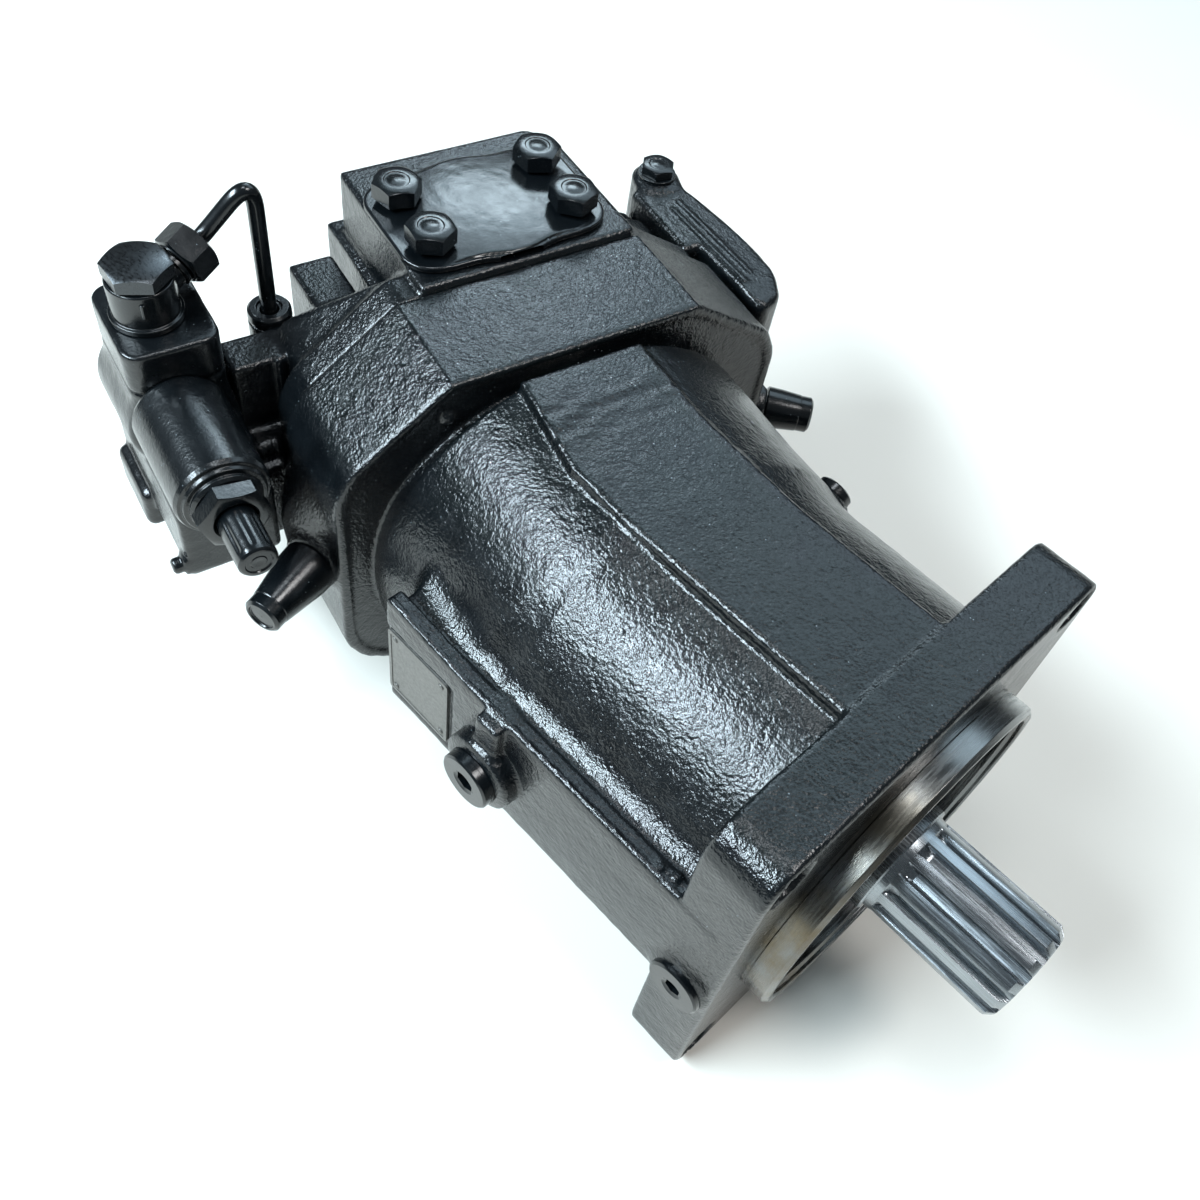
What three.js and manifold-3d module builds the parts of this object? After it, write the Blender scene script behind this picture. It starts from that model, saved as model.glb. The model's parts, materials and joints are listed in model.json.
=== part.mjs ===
// Variable displacement bent-axis piston pump, modelled piece by piece.
// Millimetres, +Z up. X runs along the drive shaft, towards the splined end.
// The model is laid out with its origin on the shaft axis at the mounting face of the flange. The last
// lines move that origin to the middle of the bounding box's underside.

import * as THREE from 'three';
import { mergeVertices } from 'three/addons/utils/BufferGeometryUtils.js';
import Module from 'manifold-3d';

const wasm = await Module();
wasm.setup();

// ---- driving dimensions ---------------------------------------------------------------------------

const GAP = 0.3;                 // left between touching pieces

// mounting flange: four bolts on a square, with a round pilot
const PILOT_R = 76.2;
const PILOT_LENGTH = 12.2;
const RECESS_R = 70;
const BOLT_SQUARE = 161.6;
const BOLT_HOLE_R = 10.75;
const FLANGE_HALF_Y = 95;
const FLANGE_HALF_Z = 93;
const FLANGE_THICK = 26.5;

// drive shaft with a 13-tooth spline
const SPLINE_TEETH = 13;
const SPLINE_R = 22.2;
const SPLINE_ROOT_R = 19.2;
const SHAFT_END = 73;
const SPLINE_START = 16;
const SEAL_R = 25;

// rotating group
const PIVOT_X = -120;            // centre of the ball circle, on the shaft axis
const BEND = THREE.MathUtils.degToRad(13);
const BALL_CIRCLE_R = 40;
const BLOCK_CIRCLE_R = 38.1;
const BALL_R = 12;
const BALL_SOCKET_R = 13.7;      // a coarse sphere whose flats still clear the ball
const PIN_BALL_R = 10;
const PIN_SOCKET_R = 11.5;
const PISTON_COUNT = 7;
const PISTON_R = 11.7;
const PISTON_LENGTH = 100;
const BORE_R = 14.4;
const DRIVE_FLANGE_R = 57;
const BLOCK_R = 56;
const BLOCK_FRONT = -50;         // x along the block's axis, counted from the pivot
const BLOCK_BACK = -135.5;

// swivelling control lens and its stroking piston
const TRACK_R = 150;
const LENS_HALF = 46;
const STROKE_X = -188;
const STROKE_R = 16;
const STROKE_HALF = 22;

// housing
const BARREL_R = 90.5;
const REAR_BARREL_R = 94;
const PANEL_Z = 93;
const BOX_Y = -95;
const BOX_LOW = -22;
const BOX_HIGH = 40;
const COLLAR_FRONT = -85;
const COLLAR_BACK = -136;
const COLLAR_HALF_Y = 107.5;
const COLLAR_TOP = 95;
const FLOOR_Z = -93;             // the housing and the lower pad both stand on this level

// port plate
const PLATE_BACK = -235;
const PAD_Z = 97;
const PORT_X = -172;
const PORT_Y = 2.4;
const PORT_BOLT_X = 31.8;
const PORT_BOLT_Y = 66.7;

// where the signal pipe comes down onto the port plate
const PIPE_FOOT = { x: -192, y: -90, z: 60 };

// ---- materials ------------------------------------------------------------------------------------

const paint = (colour, roughness = 0.35) =>
  new THREE.MeshStandardMaterial({ color: colour, roughness, metalness: 0.1 });
const metal = (colour, roughness = 0.3) =>
  new THREE.MeshStandardMaterial({ color: colour, roughness, metalness: 1 });

const blackPaint = () => paint(0x14181b);
const shaftSteel = () => metal(0x9aa0a4, 0.32);
const bearingSteel = () => metal(0xb4b8bb, 0.2);
const bronze = () => metal(0xa5804a, 0.4);
const castSteel = () => metal(0x6f7477, 0.45);
const sealRubber = () => paint(0x1b1b1c, 0.8);
const plateMetal = () => metal(0x55585a, 0.5);
const springSteel = () => metal(0x84888b, 0.35);

// ---- solid modelling helpers ----------------------------------------------------------------------

// Welds a geometry's vertices and drops the slivers that a pole or a seam leaves.
function weld(geometry) {
  const bare = geometry.clone();
  for (const name of Object.keys(bare.attributes)) {
    if (name !== 'position') bare.deleteAttribute(name);
  }
  const merged = mergeVertices(bare, 1e-4);
  const from = merged.index.array;
  const kept = [];
  for (let i = 0; i < from.length; i += 3) {
    const [a, b, c] = [from[i], from[i + 1], from[i + 2]];
    if (a !== b && b !== c && c !== a) kept.push(a, b, c);
  }
  merged.setIndex(kept);
  return merged;
}

// Six times the signed volume: negative when the faces point inwards.
function signedVolume(geometry) {
  const position = geometry.attributes.position;
  const index = geometry.index.array;
  const a = new THREE.Vector3();
  const b = new THREE.Vector3();
  const c = new THREE.Vector3();
  let sum = 0;
  for (let i = 0; i < index.length; i += 3) {
    a.fromBufferAttribute(position, index[i]);
    b.fromBufferAttribute(position, index[i + 1]);
    c.fromBufferAttribute(position, index[i + 2]);
    sum += a.dot(b.cross(c));
  }
  return sum;
}

function facingOut(geometry) {
  if (signedVolume(geometry) >= 0) return geometry;
  const flipped = [];
  const index = geometry.index.array;
  for (let i = 0; i < index.length; i += 3) flipped.push(index[i], index[i + 2], index[i + 1]);
  geometry.setIndex(flipped);
  return geometry;
}

function solid(geometry) {
  const closed = facingOut(weld(geometry));
  return new wasm.Manifold(new wasm.Mesh({
    numProp: 3,
    vertProperties: new Float32Array(closed.attributes.position.array),
    triVerts: new Uint32Array(closed.index.array),
  }));
}

function toGeometry(manifold) {
  const mesh = manifold.getMesh();
  const geometry = new THREE.BufferGeometry();
  geometry.setAttribute('position', new THREE.BufferAttribute(new Float32Array(mesh.vertProperties), 3));
  geometry.setIndex(new THREE.BufferAttribute(new Uint32Array(mesh.triVerts), 1));
  return geometry;
}

const join = (...geometries) => toGeometry(geometries.map(solid).reduce((a, b) => a.add(b)));
const cut = (body, ...tools) =>
  toGeometry(tools.map(solid).reduce((a, b) => a.subtract(b), solid(body)));
const common = (a, b) => toGeometry(solid(a).intersect(solid(b)));

const moved = (geometry, x, y, z) => geometry.clone().translate(x, y, z);

// Moves a geometry from the rear section's frame into the shaft's frame.
const rearToShaft = (geometry) => geometry.clone().rotateZ(-BEND).translate(PIVOT_X, 0, 0);

// ---- basic shapes ---------------------------------------------------------------------------------

function box(x0, x1, y0, y1, z0, z1) {
  return new THREE.BoxGeometry(x1 - x0, y1 - y0, z1 - z0)
    .translate((x0 + x1) / 2, (y0 + y1) / 2, (z0 + z1) / 2);
}

// A turned piece about X: profile points are [x, radius], and the outline closes through the axis.
function turned(profile, sides) {
  const points = profile.map(([x, r]) => new THREE.Vector2(r, x));
  points.unshift(new THREE.Vector2(0, profile[0][0]));
  points.push(new THREE.Vector2(0, profile[profile.length - 1][0]));
  return new THREE.LatheGeometry(points, sides).rotateZ(-Math.PI / 2);
}

// A turned ring about X: profile points are [x, radius], and the outline closes on itself.
function ring(profile, sides) {
  const points = profile.map(([x, r]) => new THREE.Vector2(r, x));
  points.push(points[0].clone());
  return new THREE.LatheGeometry(points, sides).rotateZ(-Math.PI / 2);
}

const rod = (x0, x1, r, sides) => turned([[x0, r], [x1, r]], sides);

// The same about Z, for pieces that stand upright.
const upright = (geometry) => geometry.clone().rotateY(-Math.PI / 2);
const post = (z0, z1, r, sides) => upright(rod(z0, z1, r, sides));

function polygon(points) {
  return new THREE.Shape(points.map(([a, b]) => new THREE.Vector2(a, b)));
}

// Extrudes a shape drawn in Y and Z along X.
function alongX(shape, x0, x1, curveSegments = 6) {
  const matrix = new THREE.Matrix4().makeBasis(
    new THREE.Vector3(0, 1, 0),
    new THREE.Vector3(0, 0, 1),
    new THREE.Vector3(1, 0, 0),
  );
  return new THREE.ExtrudeGeometry(shape, { depth: x1 - x0, bevelEnabled: false, curveSegments })
    .applyMatrix4(matrix)
    .translate(x0, 0, 0);
}

// Extrudes a shape drawn in X and Y along Z.
function alongZ(shape, z0, z1, curveSegments = 6) {
  return new THREE.ExtrudeGeometry(shape, { depth: z1 - z0, bevelEnabled: false, curveSegments })
    .translate(0, 0, z0);
}

function roundedRect(halfA, halfB, r, centreA = 0, centreB = 0) {
  const shape = new THREE.Shape();
  const corners = [
    [halfA - r, halfB - r, 0],
    [r - halfA, halfB - r, 1],
    [r - halfA, r - halfB, 2],
    [halfA - r, r - halfB, 3],
  ];
  for (const [a, b, quarter] of corners) {
    const start = quarter * Math.PI / 2;
    shape.absarc(centreA + a, centreB + b, r, start, start + Math.PI / 2, false);
  }
  return shape;
}

function hexagon(acrossFlats) {
  const r = acrossFlats / Math.sqrt(3);
  const corners = [0, 1, 2, 3, 4, 5].map((i) => i * Math.PI / 3);
  return polygon(corners.map((a) => [r * Math.cos(a), r * Math.sin(a)]));
}

const ball = (r, across = 8, down = 6) => new THREE.SphereGeometry(r, across, down);

// Places around a circle in the Y-Z plane.
function circlePlaces(count, radius) {
  return Array.from({ length: count }, (_, i) => {
    const a = (2 * Math.PI * i) / count + Math.PI / 2;
    return { index: i + 1, y: radius * Math.cos(a), z: radius * Math.sin(a) };
  });
}

// ---- scene graph ----------------------------------------------------------------------------------

const part = new THREE.Group();
const rear = new THREE.Group();
rear.position.x = PIVOT_X;
rear.rotation.z = -BEND;
part.add(rear);

function add(group, name, geometry, material) {
  const closed = facingOut(weld(geometry));
  const mesh = new THREE.Mesh(closed, material);
  mesh.name = name;
  group.add(mesh);
  return mesh;
}

// ---- housing --------------------------------------------------------------------------------------

const FLANGE_CORNER_R = 16;
const PANEL_HALF = 28.2;
const BOX_FRONT = -FLANGE_THICK;
const BOX_BACK = -183;
const DRAIN_X = -119;
const DRAIN_Z = 8;
const DRAIN_R = 17;
const DRAIN_FACE = -104;
const FRONT_BORE_R = 52;
const REAR_BORE_R = 60;
const CAVITY_R = 74;
const COVER_BACK = -17;
const BORE_SIDES = 28;           // shared by the front bores and the rings that sit in them
const FRONT_BORE_BACK = -47;
const REAR_BORE_BACK = -89;

// Half of the collar's eight-sided outline, mirrored about the middle.
function collarOutline(inset = 0) {
  const width = COLLAR_HALF_Y - inset;
  const quarter = (height) => [[width, 48], [width - 7.5, 63], [57 - inset * 0.4, height - inset]];
  const whole = (points) => [...points, ...points.toReversed().map(([y, z]) => [-y, z])];
  const bottom = whole(quarter(-FLOOR_Z)).toReversed().map(([y, z]) => [y, -z]);
  return polygon([...whole(quarter(COLLAR_TOP)), ...bottom]);
}

function housingPanel() {
  const outline = polygon([
    [-20, -PANEL_HALF], [-20, PANEL_HALF], [-92, PANEL_HALF], [-150, 33.5],
    [-190, 41], [-205, -12], [-160, -26], [-128, -PANEL_HALF],
  ]);
  return alongZ(outline, 60, PANEL_Z);
}

function housingOuter() {
  const flange = alongX(roundedRect(FLANGE_HALF_Y, FLANGE_HALF_Z, FLANGE_CORNER_R), -FLANGE_THICK, 0, 5);
  const pilot = turned([[-5, PILOT_R], [PILOT_LENGTH - 1.5, PILOT_R], [PILOT_LENGTH, PILOT_R - 1.5]], 40);
  const barrel = turned([[-10, BARREL_R], [-135, BARREL_R], [-150, 80]], 32);
  const rearBarrel = turned([[20, 82], [-5, REAR_BARREL_R], [COLLAR_FRONT - 5, REAR_BARREL_R]], 32);
  const collar = alongX(collarOutline(), COLLAR_BACK, COLLAR_FRONT);
  const sideBox = box(BOX_BACK, -10, BOX_Y, -40, BOX_LOW, BOX_HIGH);
  const drainBoss = rod(DRAIN_FACE, -70, DRAIN_R, 24).rotateZ(Math.PI / 2)
    .translate(DRAIN_X, 0, DRAIN_Z);
  const stopBosses = Object.values(STOPS).map((stop) =>
    onStopLine(rod(stop.face - 25, stop.face - GAP, 13, 18), stop));
  const rearParts = [rearBarrel, collar, ...stopBosses].map(rearToShaft);
  return join(flange, pilot, barrel, sideBox, drainBoss, housingPanel(), ...rearParts);
}

// Room for the cylinder block, a wedge in plan that opens towards the port plate, and for the lens.
function swingRoom() {
  const [front, back] = [34, COLLAR_BACK - 5];
  const half = [[front, 60], [-20, 71], [-100, 84], [back, 87]];
  const outline = polygon([...half, ...half.toReversed().map(([x, y]) => [x, -y])]);
  const round = turned([[back, 87], [-60, 87], [front, 80]], 24);
  const wedge = common(alongZ(outline, -62, 62), round);
  return join(wedge, box(back, -117, -87, 87, -LENS_HALF - 3, LENS_HALF + 3));
}

function housingBores() {
  const face = PILOT_LENGTH;
  const groove = [[-4.6, RECESS_R], [-4.6, RECESS_R + 2.6], [-8.2, RECESS_R + 2.6], [-8.2, RECESS_R]];
  return turned([
    [face + 1, RECESS_R + 4], [face - 3, RECESS_R], ...groove, [COVER_BACK, RECESS_R],
    [COVER_BACK, FRONT_BORE_R], [FRONT_BORE_BACK, FRONT_BORE_R], [FRONT_BORE_BACK, 46],
    [FRONT_BORE_BACK - 4, 46], [FRONT_BORE_BACK - 4, REAR_BORE_R], [REAR_BORE_BACK, REAR_BORE_R],
    [REAR_BORE_BACK, CAVITY_R], [-146, CAVITY_R],
  ], BORE_SIDES);
}

// The stop screws point along the lens's path, leaning forward from the collar's sides. Each one's
// line passes the pivot at the distance arm; tip, face and end are places along it, counted from the
// point nearest the pivot: the screw's tip and the two ends of its cap.
const STOP_SCREW_R = 6;
const STOPS = {
  left: { side: -1, tilt: THREE.MathUtils.degToRad(30), arm: 144, tip: 11.5, face: 49, end: 83 },
  right: { side: 1, tilt: THREE.MathUtils.degToRad(40), arm: 152, tip: -14, face: 33, end: 56.5 },
};

// Puts a piece turned about X onto a stop screw's line.
function onStopLine(geometry, { side, tilt, arm }) {
  return geometry.clone()
    .rotateZ(side * (Math.PI / 2 - tilt))
    .translate(-arm * Math.cos(tilt), side * arm * Math.sin(tilt), 0);
}

const mountHoles = () => {
  const half = BOLT_SQUARE / 2;
  return [[1, 1], [1, -1], [-1, 1], [-1, -1]].map(([a, b]) =>
    moved(rod(-60, 5, BOLT_HOLE_R, 14), 0, a * half, b * half));
};

const drainSeat = () => rod(-70, -110, 9.2, 20).rotateZ(Math.PI / 2).translate(DRAIN_X, 0, DRAIN_Z);

const FLANGE_PLUG_X = -14;
const FLANGE_PLUG_Z = -12;
const flangePlugSeat = () => rod(-80, -100, 6.2, 16).rotateZ(Math.PI / 2)
  .translate(FLANGE_PLUG_X, 0, FLANGE_PLUG_Z);

// A plugged sensor port on the barrel's right side, pointing outwards and a little up.
const SIDE_PLUG_X = -110;
const SIDE_PLUG_RISE = THREE.MathUtils.degToRad(24.5);
const onSidePlug = (geometry) => geometry.clone()
  .rotateZ(Math.PI / 2).rotateX(SIDE_PLUG_RISE).translate(SIDE_PLUG_X, 0, 0);
const sidePlugSeat = () => onSidePlug(rod(83, 100, 6.3, 14));

function housing() {
  const stops = Object.values(STOPS).map((stop) =>
    rearToShaft(onStopLine(rod(stop.tip - 16, stop.face + 1, STOP_SCREW_R + 0.6, 12), stop)));
  return cut(
    housingOuter(), housingBores(), rearToShaft(swingRoom()), ...mountHoles(),
    drainSeat(), flangePlugSeat(), sidePlugSeat(), ...stops,
    box(-300, 0, -200, 200, FLOOR_Z - 20, FLOOR_Z),
  );
}

add(part, 'housing', housing(), blackPaint());

// Threaded plug with a hexagon socket, turned about X with its face at x = 0 and its body behind.
function socketPlug(bodyR, bodyLength, headR, headLength, socket) {
  const body = turned([
    [-bodyLength, bodyR], [-GAP, bodyR], [GAP, headR], [headLength, headR],
  ], 16);
  return cut(body, alongX(hexagon(socket), headLength - 4, headLength + 1));
}

const toLeft = (geometry, x, y, z) => geometry.clone().rotateZ(-Math.PI / 2).translate(x, y, z);

add(
  part, 'drain_plug',
  toLeft(socketPlug(9, 14, 12.5, 5, 8), DRAIN_X, DRAIN_FACE - GAP, DRAIN_Z),
  blackPaint(),
);
add(
  part, 'flange_plug',
  toLeft(socketPlug(6, 10, 9.5, 3, 5), FLANGE_PLUG_X, -FLANGE_HALF_Y - GAP, FLANGE_PLUG_Z),
  blackPaint(),
);

const SIDE_PLUG_FACE = 96;
add(
  part, 'side_plug',
  onSidePlug(moved(socketPlug(6, 10, 8.5, 4, 5), SIDE_PLUG_FACE, 0, 0)),
  blackPaint(),
);

// Thin blank name plate on the side box.
const NAME_PLATE_X = -165;
add(
  part, 'name_plate',
  box(NAME_PLATE_X - 17, NAME_PLATE_X + 19, BOX_Y - 1.3, BOX_Y - GAP, -15, 27),
  plateMetal(),
);

// ---- drive shaft, bearings and seal ---------------------------------------------------------------

function splineOutline() {
  const pitch = (2 * Math.PI) / SPLINE_TEETH;
  const points = [];
  for (let i = 0; i < SPLINE_TEETH; i += 1) {
    const a = i * pitch;
    points.push(
      [SPLINE_R, a - 0.21 * pitch], [SPLINE_R, a + 0.21 * pitch],
      [SPLINE_ROOT_R, a + 0.33 * pitch], [SPLINE_ROOT_R, a + 0.67 * pitch],
    );
  }
  return polygon(points.map(([r, a]) => [r * Math.cos(a), r * Math.sin(a)]));
}

const SHAFT_SIDES = 24;
function driveShaft() {
  const spline = common(
    alongX(splineOutline(), SPLINE_START - 4, SHAFT_END),
    turned([
      [SPLINE_START - 5, SPLINE_R + 1], [SHAFT_END - 3, SPLINE_R + 0.5], [SHAFT_END, SPLINE_R - 2.5],
    ], 13),
  );
  const journal = turned([
    [SPLINE_START, SPLINE_ROOT_R], [SPLINE_START - 3, SEAL_R], [-17, SEAL_R], [-17, 27.5],
    [-49, 27.5], [-49, 32], [-88, 32], [-90, 40], [-92, DRIVE_FLANGE_R - 3],
    [-95, DRIVE_FLANGE_R], [PIVOT_X + 0.5, DRIVE_FLANGE_R],
  ], SHAFT_SIDES);
  const sockets = circlePlaces(PISTON_COUNT, BALL_CIRCLE_R)
    .map(({ y, z }) => moved(ball(BALL_SOCKET_R), PIVOT_X, y, z));
  return cut(join(spline, journal), ...sockets, moved(ball(PIN_SOCKET_R), PIVOT_X, 0, 0));
}

add(part, 'drive_shaft', driveShaft(), shaftSteel());

const RETAINER_THICK = 4.7;
function retainingPlate() {
  const plate = rod(PIVOT_X + 0.2, PIVOT_X - RETAINER_THICK, DRIVE_FLANGE_R, 24);
  const holes = circlePlaces(PISTON_COUNT, BALL_CIRCLE_R)
    .map(({ y, z }) => moved(ball(BALL_SOCKET_R), PIVOT_X, y, z));
  return cut(plate, ...holes, moved(ball(PIN_SOCKET_R), PIVOT_X, 0, 0));
}
add(part, 'retaining_plate', retainingPlate(), castSteel());

// Tapered roller bearings in a back-to-back pair.
add(part, 'front_bearing_cone', ring([
  [-18, 27.8], [-44, 27.8], [-44, 33], [-42, 41.5], [-20, 36.5], [-18, 31],
], SHAFT_SIDES), bearingSteel());
add(part, 'front_bearing_cup', ring([
  [-19, FRONT_BORE_R - GAP], [-46, FRONT_BORE_R - GAP], [-46, 43.6], [-19, 38],
], BORE_SIDES), bearingSteel());
add(part, 'rear_bearing_cone', ring([
  [-50, 32.3], [-87, 32.3], [-87, 38], [-84, 43], [-54, 50.5], [-50, 40],
], SHAFT_SIDES), bearingSteel());
add(part, 'rear_bearing_cup', ring([
  [-52, REAR_BORE_R - GAP], [-86, REAR_BORE_R - GAP], [-86, 44.6], [-52, 53],
], BORE_SIDES), bearingSteel());

add(part, 'seal_cover', ring([
  [-8.6, RECESS_R - 0.4], [-16.7, RECESS_R - 0.4], [-16.7, 35.5], [-8.6, 35.5],
], BORE_SIDES), blackPaint());
add(part, 'shaft_seal', ring([
  [-9.5, 35.1], [-16.5, 35.1], [-16.5, SEAL_R + 0.5], [-12, SEAL_R + 0.4], [-9.5, SEAL_R + 2],
], SHAFT_SIDES), sealRubber());
add(part, 'snap_ring', ring([
  [-5, RECESS_R + 2.2], [-7.9, RECESS_R + 2.2], [-7.9, RECESS_R - 4.5], [-5, RECESS_R - 4.5],
], BORE_SIDES), springSteel());

// ---- pistons --------------------------------------------------------------------------------------

const NECK_R = 6.5;
function piston() {
  return turned([
    [-BALL_R - 0.5, NECK_R], [-24, NECK_R], [-38, PISTON_R], [-PISTON_LENGTH, PISTON_R],
  ], 12);
}

for (const { index, y, z } of circlePlaces(PISTON_COUNT, BALL_CIRCLE_R)) {
  add(part, `piston_ball_${index}`, ball(BALL_R), bearingSteel()).position.set(PIVOT_X, y, z);
  const body = add(part, `piston_${index}`, piston(), bearingSteel());
  body.position.set(PIVOT_X, y, z);
  body.rotation.z = -BEND;
}

// ---- cylinder block and centre pin ----------------------------------------------------------------

const CENTRE_BORE_R = 11;
function cylinderBlock() {
  const body = turned([
    [BLOCK_FRONT, BLOCK_R - 3], [BLOCK_FRONT - 3, BLOCK_R], [BLOCK_BACK + 12, BLOCK_R], [BLOCK_BACK, 48],
  ], 24);
  const bores = circlePlaces(PISTON_COUNT, BLOCK_CIRCLE_R).flatMap(({ y, z }) => [
    moved(rod(BLOCK_FRONT + 1, -PISTON_LENGTH - 20, BORE_R, 14), 0, y, z),
    moved(rod(-PISTON_LENGTH - 15, BLOCK_BACK - 1, 5.5, 8), 0, y, z),
  ]);
  return cut(body, ...bores, rod(BLOCK_FRONT + 1, BLOCK_BACK + 15, CENTRE_BORE_R, 14));
}
add(rear, 'cylinder_block', cylinderBlock(), bronze());

const PIN_END = -92;
add(rear, 'centre_pin', join(ball(PIN_BALL_R), turned([
  [-4, 6], [-26, 6], [-32, 9.5], [PIN_END, 9.5],
], 16)), bearingSteel());

// Spring that presses the block against the lens.
function coil(radius, wireR, pitch, turns, steps, sides) {
  const points = Array.from({ length: turns * steps + 1 }, (_, i) => {
    const a = (2 * Math.PI * i) / steps;
    return new THREE.Vector3((pitch * i) / steps, radius * Math.cos(a), radius * Math.sin(a));
  });
  const wire = new THREE.Shape();
  wire.absarc(0, 0, wireR, 0, 2 * Math.PI, false);
  return new THREE.ExtrudeGeometry(wire, {
    steps: turns * steps,
    curveSegments: sides,
    bevelEnabled: false,
    extrudePath: new THREE.CatmullRomCurve3(points),
  });
}
add(rear, 'block_spring', moved(coil(7.5, 1.5, 5.2, 4, 8, 3), BLOCK_BACK + 19, 0, 0), springSteel());

// ---- control lens and stroking piston -------------------------------------------------------------

function kidney(sign) {
  const shape = new THREE.Shape();
  const [from, to] = [THREE.MathUtils.degToRad(25), THREE.MathUtils.degToRad(155)];
  shape.absarc(0, 0, BLOCK_CIRCLE_R + 5, from, to, false);
  shape.absarc(0, 0, BLOCK_CIRCLE_R - 5, to, from, true);
  const slot = alongX(shape, -TRACK_R - 5, BLOCK_BACK + 5, 6);
  return sign > 0 ? slot : slot.rotateX(Math.PI);
}

const LINK_R = 6;
function controlLens() {
  const slab = box(-TRACK_R - 2, BLOCK_BACK - 0.5, -LENS_HALF, LENS_HALF, -LENS_HALF, LENS_HALF);
  const r = TRACK_R - 2 * GAP;
  const curve = new THREE.CylinderGeometry(r, r, 120, 96).rotateX(Math.PI / 2);
  const linkHole = rod(-TRACK_R - 5, BLOCK_BACK + 5, LINK_R + GAP, 16);
  return cut(common(slab, curve), kidney(1), kidney(-1), linkHole);
}
add(rear, 'control_lens', controlLens(), castSteel());

const SWIVEL_BALL_R = 7.5;
add(rear, 'swivel_pin', join(
  rod(BLOCK_BACK - 3, STROKE_X, LINK_R, 16),
  moved(ball(SWIVEL_BALL_R), STROKE_X, 0, 0),
), bearingSteel());

// Turned about the lateral axis of the rear section, at the stroking bore.
const acrossRear = (geometry) => geometry.clone().rotateZ(Math.PI / 2).translate(STROKE_X, 0, 0);

function strokingPiston() {
  const body = acrossRear(turned([
    [-STROKE_HALF, 13], [-STROKE_HALF + 2, STROKE_R - 0.4],
    [STROKE_HALF - 2, STROKE_R - 0.4], [STROKE_HALF, 13],
  ], 24));
  const pocket = SWIVEL_BALL_R + 0.8;
  const mouth = LINK_R + 5;
  return cut(
    body, box(STROKE_X - 9, STROKE_X + 9, -pocket, pocket, -pocket, pocket),
    box(STROKE_X, STROKE_X + 20, -mouth, mouth, -pocket, pocket),
  );
}
add(rear, 'stroking_piston', strokingPiston(), castSteel());

// ---- port plate -----------------------------------------------------------------------------------

const PLATE_FRONT = COLLAR_BACK - GAP;
const PLATE_RIM_BACK = -152;
const ARM_LEFT = -118;
const ARM_RIGHT = 100;
const PAD_LEFT = -44;
const PAD_RIGHT = 57;
const PAD_FRONT = -137;
const PAD_BACK = -219;

function portPlateOuter() {
  const rim = alongX(collarOutline(3), PLATE_RIM_BACK, PLATE_FRONT);
  const core = box(PLATE_BACK, PLATE_FRONT - 5, -34, 60, -62, 62);
  const strokeHousing = box(-210, -145, ARM_LEFT, ARM_RIGHT, -24, 24);
  const leftWeb = box(-182, -145, ARM_LEFT, -20, -30, 58);
  const rightWeb = box(-205, -145, 20, ARM_RIGHT, -30, 50);
  const padTop = box(PAD_BACK, PAD_FRONT, PAD_LEFT, PAD_RIGHT, 50, PAD_Z);
  const padBottom = box(PAD_BACK, PAD_FRONT - 6, PAD_LEFT, PAD_RIGHT, FLOOR_Z, -50);
  const outerRib = box(-207, -150, -75, -54.5, -40, 66);
  const innerRib = box(-228, -150, -48, -30, -40, 66);
  const pipeBoss = moved(post(20, PIPE_FOOT.z - 6, 9.5, 18), PIPE_FOOT.x, PIPE_FOOT.y, 0);
  return join(
    rim, core, strokeHousing, leftWeb, rightWeb, padTop, padBottom, outerRib, innerRib, pipeBoss,
  );
}

const PORT_R = 15.5;

function portPassages() {
  const top = moved(post(36, PAD_Z + 1, PORT_R, 18), PORT_X, PORT_Y, 0);
  const bottom = moved(post(FLOOR_Z - 1, -36, PORT_R, 18), PORT_X, PORT_Y, 0);
  const kidneyRun = rod(PORT_X, PLATE_FRONT + 5, 11, 12);
  return [top, bottom, moved(kidneyRun, 0, 0, 34), moved(kidneyRun, 0, 0, -34)];
}

const PORT_SCREW_R = 6;
const portScrewPlaces = [-1, 1].flatMap((a) =>
  [-1, 1].map((b) => ({ x: PORT_X + a * PORT_BOLT_X / 2, y: PORT_Y + b * PORT_BOLT_Y / 2 })));

function portPlate() {
  const track = new THREE.CylinderGeometry(TRACK_R, TRACK_R, 2 * LENS_HALF + 2, 96).rotateX(Math.PI / 2);
  const linkSlot = box(STROKE_X, -TRACK_R + 8, -46, 46, -LINK_R - 1, LINK_R + 1);
  const strokeBore = acrossRear(rod(ARM_LEFT - 5, ARM_RIGHT + 5, STROKE_R, 20));
  const screwHoles = portScrewPlaces.flatMap(({ x, y }) => [
    moved(post(PAD_Z - 24, PAD_Z + 1, PORT_SCREW_R + GAP, 10), x, y, 0),
    moved(post(FLOOR_Z - 1, FLOOR_Z + 24, PORT_SCREW_R + GAP, 10), x, y, 0),
  ]);
  const pipeHole = moved(post(30, 60, 4, 12), PIPE_FOOT.x, PIPE_FOOT.y, 0);
  return cut(portPlateOuter(), track, linkSlot, strokeBore, pipeHole, ...portPassages(), ...screwHoles);
}
add(rear, 'port_plate', portPlate(), blackPaint());

const strokeStop = STROKE_HALF + 45;
add(rear, 'stroke_plug_left', acrossRear(rod(-strokeStop, ARM_LEFT + 1, STROKE_R - GAP, 20)), castSteel());
add(rear, 'stroke_plug_right', acrossRear(rod(strokeStop, ARM_RIGHT - 1, STROKE_R - GAP, 20)), castSteel());

// ---- port cover and its screws --------------------------------------------------------------------

const COVER_THICK = 5;

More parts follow.
